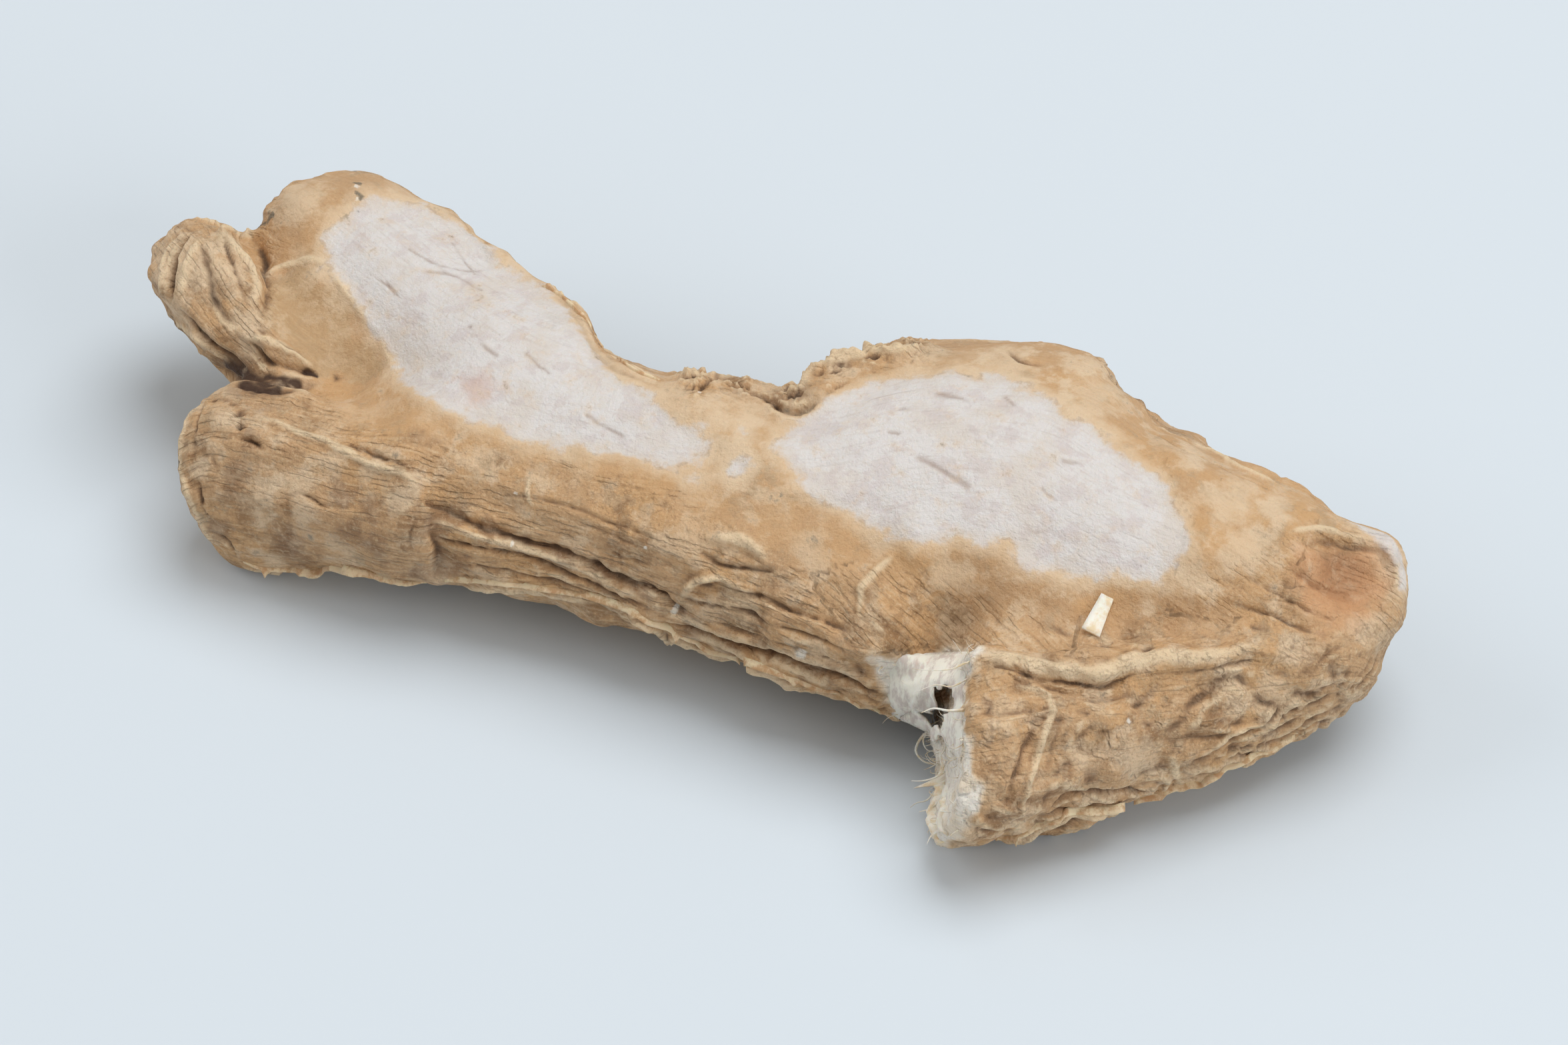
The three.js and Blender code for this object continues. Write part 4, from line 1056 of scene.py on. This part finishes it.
def creases_group():
    """Thin creases side by side across the grain, wavering and broken: their lines, and the skin's height."""
    inputs = {"Grain": None, "Spacing": 0.9, "Sway": 2.0, "Width": 0.08}
    group, given, made = new_group("creases", inputs, ("Lines", "Height"))
    per = math_node(group, "DIVIDE", 1.0, given["Spacing"])
    scaled = {0: given["Grain"], "Scale": per}
    cells = put(group, "ShaderNodeVectorMath", scaled, operation="SCALE").outputs[0]
    drawn = vector_node(group, "MULTIPLY", cells, (0.2, 0.45, 1.0))
    sway = noise_node(group, drawn, 1.0, 4.0, 0.6)["Fac"]
    along, beside, limb = put(group, "ShaderNodeSeparateXYZ", {0: cells}).outputs
    pushed = math_node(group, "MULTIPLY_ADD", sway, given["Sway"], beside)
    turn = math_node(group, "FRACT", pushed)
    away = math_node(group, "ABSOLUTE", math_node(group, "SUBTRACT", turn, 0.5))
    row = math_node(group, "MULTIPLY", math_node(group, "FLOOR", pushed), 3.7)
    reach = math_node(group, "MULTIPLY", along, 0.22)
    lot = put(group, "ShaderNodeCombineXYZ", {0: reach, 1: row, 2: limb}).outputs[0]
    kept = ramp(group, noise_node(group, lot, 1.0)["Fac"], 0.42, 0.6)
    shown = math_node(group, "MULTIPLY", ramp(group, away, given["Width"], 0.0), kept)
    hollow = math_node(group, "MULTIPLY", ramp(group, away, 0.3, 0.0), kept)
    group.links.new(shown, made["Lines"])
    group.links.new(math_node(group, "SUBTRACT", 1.0, hollow), made["Height"])
    return group


def specks_group():
    """Small short marks scattered over a surface, from 0 to 1."""
    inputs = {"Place": None, "Spacing": 2.0, "Size": 0.16, "Amount": 0.3}
    group, given, made = new_group("specks", inputs, ("Mask",))
    per = math_node(group, "DIVIDE", 1.0, given["Spacing"])
    ragged = noise_node(group, given["Place"], 2.0)["Color"]
    bent = vector_node(group, "MULTIPLY_ADD", ragged, (0.9, 0.9, 0.9), given["Place"])
    cells = put(group, "ShaderNodeTexVoronoi", {"Vector": bent, "Scale": per}).outputs
    close = ramp(group, cells["Distance"], given["Size"], 0.0)
    lot = put(group, "ShaderNodeSeparateColor", {0: cells["Color"]}).outputs[0]
    chosen = math_node(group, "LESS_THAN", lot, given["Amount"])
    group.links.new(math_node(group, "MULTIPLY", close, chosen), made["Mask"])
    return group


def new_material(name):
    """An empty material and its node tree."""
    material = bpy.data.materials.new(name)
    material.use_nodes = True
    material.node_tree.nodes.clear()
    return material, material.node_tree


def add_shader(tree, inputs):
    """The shader of a material, led to its output."""
    shader = put(tree, "ShaderNodeBsdfPrincipled", inputs)
    put(tree, "ShaderNodeOutputMaterial", {"Surface": shader.outputs[0]})


def skin_material(groups):
    """The dried skin with its scraped, torn and stained places, painted shade in its creases and hollows and
    a painted highlight on its crests, from the masks on its vertices.
    """
    material, tree = new_material("dried_ginger_skin")
    mask = {name: put(tree, "ShaderNodeAttribute", attribute_name=name).outputs["Fac"] for name in SKIN_MASKS}
    grain = put(tree, "ShaderNodeAttribute", attribute_name="grain").outputs["Vector"]
    place = put(tree, "ShaderNodeTexCoord").outputs["Object"]
    place = vector_node(tree, "MULTIPLY", place, (1 / MM, 1 / MM, 1 / MM))

    def noise(at, size, detail=4.0, roughness=0.6):
        return noise_node(tree, at, 1 / size, detail, roughness)["Fac"]

    def centred(value):
        return math_node(tree, "SUBTRACT", value, 0.5)

    def ragged(name, amount, low, high):
        return ramp(tree, math_node(tree, "MULTIPLY_ADD", fray, amount, mask[name]), low, high)

    def marks(group, **inputs):
        return put(tree, "ShaderNodeGroup", inputs, node_tree=groups[group]).outputs

    fray = centred(noise(place, 1.6, 6.0, 0.64))
    streaky = vector_node(tree, "MULTIPLY", grain, (0.12, 1.0, 1.0))
    clouds = ramp(tree, noise(place, 8.0, 5.0), 0.42, 0.6)
    pale_blotches = ramp(tree, noise(place, 3.2, 7.0, 0.62), 0.5, 0.6)
    grey_blotches = ramp(tree, noise(place, 2.4, 7.0, 0.66), 0.53, 0.62)
    dark_blotches = ramp(tree, noise(place, 4.6, 6.0, 0.68), 0.52, 0.64)
    fibres = noise(streaky, 0.3, 3.0)
    dark_fibres = times(tree, ramp(tree, fibres, 0.5, 0.72), mask["steady"])
    pale_fibres = times(tree, ramp(tree, fibres, 0.48, 0.3), mask["steady"])
    grit = noise(place, 0.22, 3.0)
    pores = noise(place, 0.5, 5.0, 0.7)
    cracks = marks("creases", Grain=grain, Spacing=0.95, Sway=3.0, Width=0.07)
    hairlines = marks("creases", Grain=grain, Spacing=0.42, Sway=2.5, Width=0.12)
    curls = marks("wrinkle_lines", Grain=place, Spacing=1.15, Stretch=1.3, Width=0.038)
    scuffs = marks("wrinkle_lines", Grain=place, Spacing=1.6, Stretch=2.0, Width=0.03)
    freckles = marks("specks", Place=place, Spacing=1.3, Size=0.14, Amount=0.14)
    nicks = marks("specks", Place=streaky, Spacing=1.5, Size=0.13, Amount=0.16)

    lined = math_node(tree, "MULTIPLY_ADD", mask["lined"], 0.8, times(tree, mask["steady"], 0.05))
    curled = times(tree, ramp(tree, noise(place, 1.6, 3.0), 0.42, 0.58), mask["crossed"])
    gritty = spread(tree, mask["wrinkled"], 0.35, 1.0)
    fibrous = spread(tree, mask["lined"], 0.12, 0.45)
    edge = math_node(tree, "MULTIPLY_ADD", centred(noise(place, 2.2, 7.0, 0.62)), 1.1, mask["scraped"])
    exposed = ramp(tree, edge, 0.38, 0.6)
    rim = times(tree, ramp(tree, exposed, 0.0, 0.3), ramp(tree, exposed, 1.0, 0.5))
    skin = layered(tree, mix(tree, clouds, TAN, WARM_TAN), [
        (PALE_TAN, pale_blotches, 0.55),
        (GREY_TAN, grey_blotches, 0.6),
        (DARK_TAN, dark_blotches, mask["wrinkled"], 0.8),
        (WARM_TAN, ragged("warm", 1.8, 0.15, 0.85), 0.6),
        (DULL_TAN, ragged("dull", 1.0, 0.3, 0.6), 0.7),
        (PALE_TAN, ragged("pale", 2.2, 0.2, 0.95), 0.68),
        # Dark spots and crumbly skin: partly their own colour, partly painted shade.
        (WRINKLE_AND_SHADE_BROWN, ragged("brown_and_shade", 2.4, 0.25, 0.85), 0.62),
        # Pale crests: partly paler skin, partly a painted highlight.
        (CREAM_AND_HIGHLIGHT, ramp(tree, mask["pale_crest_and_highlight"], 0.08, 0.7), 0.8),
        (DARK_TAN, dark_fibres, fibrous),
        (CREAM_AND_HIGHLIGHT, pale_fibres, fibrous),
        (WRINKLE_AND_SHADE_BROWN, ramp(tree, grit, 0.54, 0.7), gritty, 0.35),
        (CREAM_AND_HIGHLIGHT, ramp(tree, grit, 0.46, 0.3), gritty, 0.3),
        # Dark lines at the bottoms of the bumped creases: partly their own colour, partly painted shade.
        (WRINKLE_AND_SHADE_BROWN, hairlines["Lines"], lined, 0.2),
        (WRINKLE_AND_SHADE_BROWN, cracks["Lines"], lined, 0.65),
        (WRINKLE_AND_SHADE_BROWN, curls["Lines"], curled, 0.5),
        (SHADE_AND_FRECKLE_BROWN, freckles["Mask"], 0.4),
        # Creases, pits and hollows coloured darker: partly the skin's own colour, partly painted shade.
        (WRINKLE_AND_SHADE_BROWN, ramp(tree, mask["crease_and_shade"], 0.03, 0.55), 0.6),
        (SHADE_AND_FRECKLE_BROWN, ramp(tree, mask["crease_and_shade"], 0.38, 0.85), 0.9),
        (SHADE_BROWN, ramp(tree, mask["shaded"], 0.1, 0.8), 0.95),
        (PALE_TAN, ramp(tree, edge, 0.02, 0.42), 0.65),
    ])
    bare = layered(tree, SCRAPED_PALE, [
        (SCRAPED_WARM, ramp(tree, noise(place, 3.6, 6.0), 0.46, 0.62), 0.55),
        (SCRAPED_BLUSH, ramp(tree, noise(place, 1.9, 6.0, 0.65), 0.5, 0.6), 0.45),
        (SCRATCH_BROWN, dark_fibres, 0.16),
        (SCRAPED_WARM, scuffs["Lines"], 0.3),
        (BLUSH_PINK, ragged("blush", 1.4, 0.1, 0.95), 0.5),
        (SCRATCH_BROWN, nicks["Mask"], 0.6),
        (SCRATCH_BROWN, mask["scratched"], 0.6),
        (SCRAPED_WARM, ramp(tree, edge, 0.85, 0.5), 0.6),
    ])
    torn = layered(tree, TORN_WHITE, [
        (CREAM_AND_HIGHLIGHT, pale_blotches, 0.5),
        (TORN_LILAC, ramp(tree, pores, 0.52, 0.66), 0.35),
        (TORN_SHADE, ramp(tree, grit, 0.55, 0.7), 0.3),
    ])
    colour = layered(tree, mix(tree, exposed, skin, bare), [
        (DARK_TAN, rim, ramp(tree, fray, 0.02, 0.12), 0.35),
        (SOCKET_BROWN, ragged("socket", 1.2, 0.05, 0.95), 0.6),
        (PALE_TAN, ragged("torn", 1.2, 0.0, 0.45), 0.8),
        (torn, ragged("torn", 1.2, 0.25, 0.85)),
        (TORN_WHITE, ragged("flecked", 1.6, 0.3, 0.7), 0.75),
        (GRIME, ragged("grime", 2.6, 0.35, 0.75), 0.8),
    ])

    folds = math_node(tree, "MULTIPLY_ADD", cracks["Height"], 0.8, hairlines["Height"])
    folds = math_node(tree, "MULTIPLY", folds, lined)
    folds = math_node(tree, "MULTIPLY_ADD", curls["Height"], curled, folds)
    relief = math_node(tree, "MULTIPLY_ADD", pores, 0.9, folds)
    relief = math_node(tree, "MULTIPLY_ADD", grit, 0.35, relief)
    bump = put(tree, "ShaderNodeBump", {"Strength": 1.0, "Distance": 0.2 * MM, "Height": relief})
    add_shader(tree, {
        "Base Color": colour,
        "Roughness": spread(tree, exposed, 0.74, 0.62),
        "Normal": bump.outputs[0],
        "Subsurface Weight": 0.1,
        "Subsurface Radius": (1.0, 0.5, 0.25),
        "Subsurface Scale": 0.8 * MM,
    })
    return material


def fibre_material(name, light, dark, drawn):
    """Dry torn tissue, with its marks drawn out by a scale along each axis."""
    material, tree = new_material(name)
    place = vector_node(tree, "MULTIPLY", put(tree, "ShaderNodeTexCoord").outputs["Object"], drawn)
    marks = noise_node(tree, place, 1.0, 5.0, 0.65)["Fac"]
    bump = put(tree, "ShaderNodeBump", {"Strength": 0.6, "Distance": 0.12 * MM, "Height": marks})
    add_shader(tree, {
        "Base Color": mix(tree, ramp(tree, marks, 0.42, 0.62), light, dark),
        "Roughness": 0.85,
        "Normal": bump.outputs[0],
        "Subsurface Weight": 0.15,
        "Subsurface Scale": 0.8 * MM,
    })
    return material


# ---- Threads, flakes and chips -----------------------------------------------------------------------
def add_thread(bm, path, radius):
    """A thin three-sided thread along a path in millimetres, tapering to its end."""
    ring = bmesh.ops.create_circle(bm, segments=3, radius=1)["verts"]
    edges = list(dict.fromkeys(edge for vert in ring for edge in vert.link_edges))
    foot = edges
    placed = Matrix.Identity(4)
    for i, point in enumerate(path):
        if i:
            grown = bmesh.ops.extrude_edge_only(bm, edges=edges)["geom"]
            ring = [item for item in grown if isinstance(item, bmesh.types.BMVert)]
            rim = set(ring)
            sides = [item for item in grown if isinstance(item, bmesh.types.BMEdge)]
            edges = [edge for edge in sides if set(edge.verts) <= rim]
        ahead = path[min(i + 1, len(path) - 1)] - path[max(i - 1, 0)]
        size = radius * (1 - 0.8 * i / (len(path) - 1)) * MM
        place = Matrix.LocRotScale(point * MM, ahead.to_track_quat("Z", "Y"), (size, size, size))
        bmesh.ops.transform(bm, matrix=place @ placed.inverted(), verts=ring)
        placed = place
    bmesh.ops.edgeloop_fill(bm, edges=foot)
    bmesh.ops.edgeloop_fill(bm, edges=edges)


def curled_path(start, ahead, length, curl, draw):
    """A thread's points in millimetres, bending more and more about one drawn axis."""
    axis = ahead.cross(Vector([draw.uniform(-1, 1) for _ in range(3)])).normalized()
    point = start.copy()
    path = [point.copy()]
    for i in range(THREAD_BENDS):
        ahead = Quaternion(axis, curl * (0.4 + 0.3 * i) / THREAD_BENDS) @ ahead
        point = point + ahead * (length / THREAD_BENDS)
        point.z = max(point.z, LOWEST)
        path.append(point.copy())
    return path


def finished_piece(bm, name, material):
    """Makes a bmesh a smooth object of its own, in place of a part of the root."""
    bmesh.ops.recalc_face_normals(bm, faces=bm.faces)
    mesh = bpy.data.meshes.new(name)
    bm.to_mesh(mesh)
    bm.free()
    mesh.polygons.foreach_set("use_smooth", np.ones(len(mesh.polygons), bool))
    mesh.materials.append(material)
    piece = add_object(name, mesh)
    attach(piece, "root")
    return piece


def thicken(piece, thickness):
    """Gives a thin piece its thickness, half on either side."""
    wall = piece.modifiers.new("thickness", "SOLIDIFY")
    wall.thickness = thickness * MM
    wall.offset = 0


def torn_threads(tree, moved, masks, material):
    """Threads that stand out of the break and the torn tissue beside it, and the loose curls below it."""
    draw = random.Random(11)
    bm = bmesh.new()
    for mask, count, ahead, length in (
        (masks["broken"], BREAK_THREADS, Vector(SNAP_NORMAL) + Vector((0, -0.2, -0.4)), (0.4, 1.3)),
        (masks["web"], WEB_THREADS, BACK + Vector((-0.5, -0.6, 0)), (0.5, 1.6)),
    ):
        rows = np.flatnonzero(mask > 0.75)
        ahead = ahead.normalized()
        for _ in range(count):
            start = Vector(moved[draw.choice(rows)])
            way = (ahead + Vector([draw.gauss(0, 0.4) for _ in range(3)])).normalized()
            path = curled_path(start, way, draw.uniform(*length), draw.uniform(*THREAD_CURLS), draw)
            add_thread(bm, path, draw.uniform(*THREAD_RADII))
    for line, width in CURLS:
        start = laid_point(tree, *line[0])
        moves = smooth_line(line, 4) - line[0]
        path = [start + RIGHT * across + UP * up for across, up in moves]
        add_thread(bm, path, width)
    finished_piece(bm, "torn_threads", material)


def evened_line(tree, line, step):
    """A laid line without its leaps in depth, brought back onto the skin."""
    laid = laid_line(tree, line, step)
    sight = laid - np.array(EYE)
    depth = sight @ np.array(BACK)
    rows = range(len(depth))
    middle = np.array([np.median(depth[max(0, i - HEM_EVENED) : i + HEM_EVENED + 1]) for i in rows])
    evened = np.array(EYE) + sight * (middle / depth)[:, None]
    return [tree.find_nearest(Vector(point))[0] for point in evened]


def add_flaps(tree, name, flaps, spiky, material):
    """Thin ragged flaps along lines on the skin, as one piece."""
    bm = bmesh.new()
    for number, (line, width, lean) in enumerate(flaps):
        edge = evened_line(tree, line, HEM_STEP)
        steps = np.arange(len(edge))[:, None] * (HEM_STEP, 0.0, 0.0) + (0.0, 7.3 * number, 0.0)
        teeth = 0.4 + 0.5 * folded(steps / 2.6, 421) + 0.3 * folded(steps / 0.5, 422)
        teeth += spiky * smoothstep(0.3, 0.6, lattice_noise(steps / 0.9, 424))
        ripple = lattice_noise(steps / 1.1, 423)
        ends = np.sin(math.pi * (0.04 + 0.92 * np.arange(len(edge)) / (len(edge) - 1)))
        grid = bmesh.ops.create_grid(bm, x_segments=len(edge) - 1, y_segments=3, size=0.5)["verts"]
        column = {vert: round((vert.co.x + 0.5) * (len(edge) - 1)) for vert in grid}
        leaps = {i for i in range(len(edge) - 1) if (edge[i + 1] - edge[i]).length > LONGEST_STEP}
        for vert in grid:
            i, row = column[vert], vert.co.y + 0.5
            reach = width * 1.5 * teeth[i] * math.sqrt(ends[i])
            out = RIGHT * lean[0] + UP * lean[1] + BACK * (0.25 + 0.4 * ripple[i])
            vert.co = (edge[i] + out * (reach * row - 0.3 * (1 - row)) + BACK * (0.16 * ends[i])) * MM
            vert.co.z = max(vert.co.z, LOWEST * MM)
        parted = [face for face in bm.faces if min(column.get(vert, -1) for vert in face.verts) in leaps]
        bmesh.ops.delete(bm, geom=parted, context="FACES")
    thicken(finished_piece(bm, name, material), FLAP_THICKNESS)


def add_peel(tree, material):
    """The narrow peel that stands up on the bulge."""
    (across0, up0), (across1, up1), width = CHIP
    foot, top = laid_point(tree, across0, up0), laid_point(tree, across1, up1)
    run = top - foot
    out = tree.find_nearest((foot + top) / 2)[1]
    side = run.cross(out).normalized()
    out = side.cross(run).normalized()
    bm = bmesh.new()
    bmesh.ops.create_grid(bm, x_segments=3, y_segments=8, size=0.5)
    draw = random.Random(5)
    for vert in bm.verts:
        x, y = vert.co.x, vert.co.y + 0.5
        wide = width * (1.05 - 0.35 * y)
        lift = 0.05 + 0.4 * (1 - y) ** 2 + 0.3 * x * x + draw.uniform(-0.03, 0.03)
        vert.co = (foot + run * y + side * (x * wide) + out * lift) * MM
    both_sides = 2 * len(bm.faces)
    bmesh.ops.solidify(bm, geom=bm.faces[:], thickness=PEEL_THICKNESS * MM)
    bmesh.ops.recalc_face_normals(bm, faces=bm.faces)
    # The faces between the two sides come in no fixed order, so they are made again in one.
    bm.verts.index_update()
    rim = bm.faces[both_sides:]
    rows = [[vert.index for vert in face.verts] for face in rim]
    rows = sorted(row[row.index(min(row)) :] + row[: row.index(min(row))] for row in rows)
    bmesh.ops.delete(bm, geom=rim, context="FACES_ONLY")
    bm.verts.ensure_lookup_table()
    for row in rows:
        bm.faces.new([bm.verts[number] for number in row])
    finished_piece(bm, "white_peel", material)


def add_membrane(tree, material):
    """The thin torn tissue between the front finger and the stump, with its holes."""
    left, right = smooth_line(MEMBRANE_LEFT, 6), smooth_line(MEMBRANE_RIGHT, 6)
    rows = len(left)
    bm = bmesh.new()
    bmesh.ops.create_grid(bm, x_segments=MEMBRANE_COLUMNS - 1, y_segments=rows - 1, size=0.5)
    for vert in bm.verts:
        s, row = vert.co.x + 0.5, round((0.5 - vert.co.y) * (rows - 1))
        across, up = left[row] * (1 - s) + right[row] * s
        up += 0.5 * math.sin(math.pi * s) * row / rows
        skin_point = laid_point(tree, across, up)
        span = laid_point(tree, *left[row]).lerp(laid_point(tree, *right[row]), s)
        span -= BACK * (0.8 * math.sin(math.pi * s))
        lift = max((span - skin_point).dot(BACK), 0) * min(1, row / 7)
        at = np.array([[s * 5, row * 0.12, 0.0]])
        crumple = 0.6 * abs(lattice_noise(at * 1.6, 401)[0]) + 0.45 * abs(lattice_noise(at * 3.4, 402)[0])
        rim = min(1, 6 * s, 6 * (1 - s), 0.3 + row / 3)
        vert.co = (skin_point + BACK * (min(lift, 6) + crumple * rim - 0.35 + 0.4 * rim)) * MM
    holes = []
    for face in bm.faces:
        across, up = seen_from_eye(np.array([face.calc_center_median()]) / MM)[0]
        hole = min(math.hypot(across - x, (up - y) * 0.8) / r for x, y, r in MEMBRANE_HOLES)
        if hole + 0.5 * lattice_noise(np.array([[across, up, 0.0]]) / 0.4, 403)[0] < 1:
            holes.append(face)
    bmesh.ops.delete(bm, geom=holes, context="FACES")
    pinched = [vert for vert in bm.verts if sum(edge.is_boundary for edge in vert.link_edges) > 2]
    bmesh.ops.delete(bm, geom=list({vert.link_faces[0] for vert in pinched}), context="FACES")
    smooth(bm, 0.4, 2)
    thicken(finished_piece(bm, "torn_membrane", material), MEMBRANE_THICKNESS)


# ---- Scene -------------------------------------------------------------------------------------------
def add_camera():
    """The camera, in front of the piece and above it."""
    data = bpy.data.cameras.new("camera")
    data.sensor_width = SENSOR_WIDTH
    data.lens = SENSOR_WIDTH * DISTANCE / VIEW_WIDTH
    data.clip_start = NEAR_CLIP
    data.clip_end = FAR_CLIP
    camera = add_object("camera", data)
    camera.location = EYE * MM
    camera.rotation_euler = BACK.to_track_quat("Z", "Y").to_euler()
    bpy.context.scene.camera = camera


def add_floor():
    """The plain pale floor."""
    bm = bmesh.new()
    bmesh.ops.create_grid(bm, x_segments=1, y_segments=1, size=FLOOR_SIZE)
    mesh = bpy.data.meshes.new("floor")
    bm.to_mesh(mesh)
    bm.free()
    material, tree = new_material("pale_floor")
    add_shader(tree, {"Base Color": FLOOR_PALE, "Roughness": FLOOR_ROUGHNESS})
    mesh.materials.append(material)
    floor = add_object("floor", mesh)


def add_light():
    """A soft even room with three wide lamps that look at the origin."""
    world = bpy.data.worlds.new("soft_room")
    world.use_nodes = True
    background = world.node_tree.nodes["Background"]
    background.inputs["Color"].default_value = ROOM_COLOUR
    background.inputs["Strength"].default_value = ROOM_STRENGTH
    bpy.context.scene.world = world
    for name, place, width, power in LAMPS:
        data = bpy.data.lights.new(name, "AREA")
        data.shape = "DISK"
        data.size = width
        data.energy = power
        data.color = LAMP_COLOUR
        lamp = add_object(name, data)
        lamp.location = place
        lamp.rotation_euler = Vector(place).to_track_quat("Z", "Y").to_euler()
    bpy.context.scene.view_settings.view_transform = "Standard"


add_camera()
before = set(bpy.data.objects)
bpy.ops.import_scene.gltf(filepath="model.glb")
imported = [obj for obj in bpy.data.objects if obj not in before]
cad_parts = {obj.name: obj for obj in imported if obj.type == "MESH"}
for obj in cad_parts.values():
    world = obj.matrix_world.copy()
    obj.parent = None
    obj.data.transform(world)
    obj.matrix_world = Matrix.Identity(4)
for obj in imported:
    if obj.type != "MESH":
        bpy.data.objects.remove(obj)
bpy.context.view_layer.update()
add_floor()
add_light()

groups = {group.name: group for group in (creases_group(), wrinkle_lines_group(), specks_group())}
skin = rounded_copy(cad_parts["rhizome"])
shift(skin.data)
tree = skin_tree(skin.data)
refine(skin.data, read(skin.data.vertices, "normal", 3) @ np.array(BACK) > -0.2)
refine(skin.data, near_features(skin.data, tree))
moved, masks = dress_skin(skin.data, tree)
skin.data.materials.clear()
skin.data.materials.append(skin_material(groups))
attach(skin, "root")
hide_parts("rhizome")
tree = skin_tree(skin.data)
fibre = fibre_material("torn_ginger_fibre", TORN_WHITE, CREAM_AND_HIGHLIGHT, (900, 900, 900))
web = fibre_material("torn_ginger_web", TORN_WHITE, TORN_LILAC, (1700, 700, 700))
hem = fibre_material("dry_ginger_hem", CREAM_AND_HIGHLIGHT, TAN, (1200, 1200, 1200))
torn_threads(tree, moved, masks, fibre)
add_membrane(tree, web)
add_peel(tree, fibre)
add_flaps(tree, "ragged_hems", HEMS, 1.3, hem)
add_flaps(tree, "torn_shreds", SHREDS, 2.5, fibre)
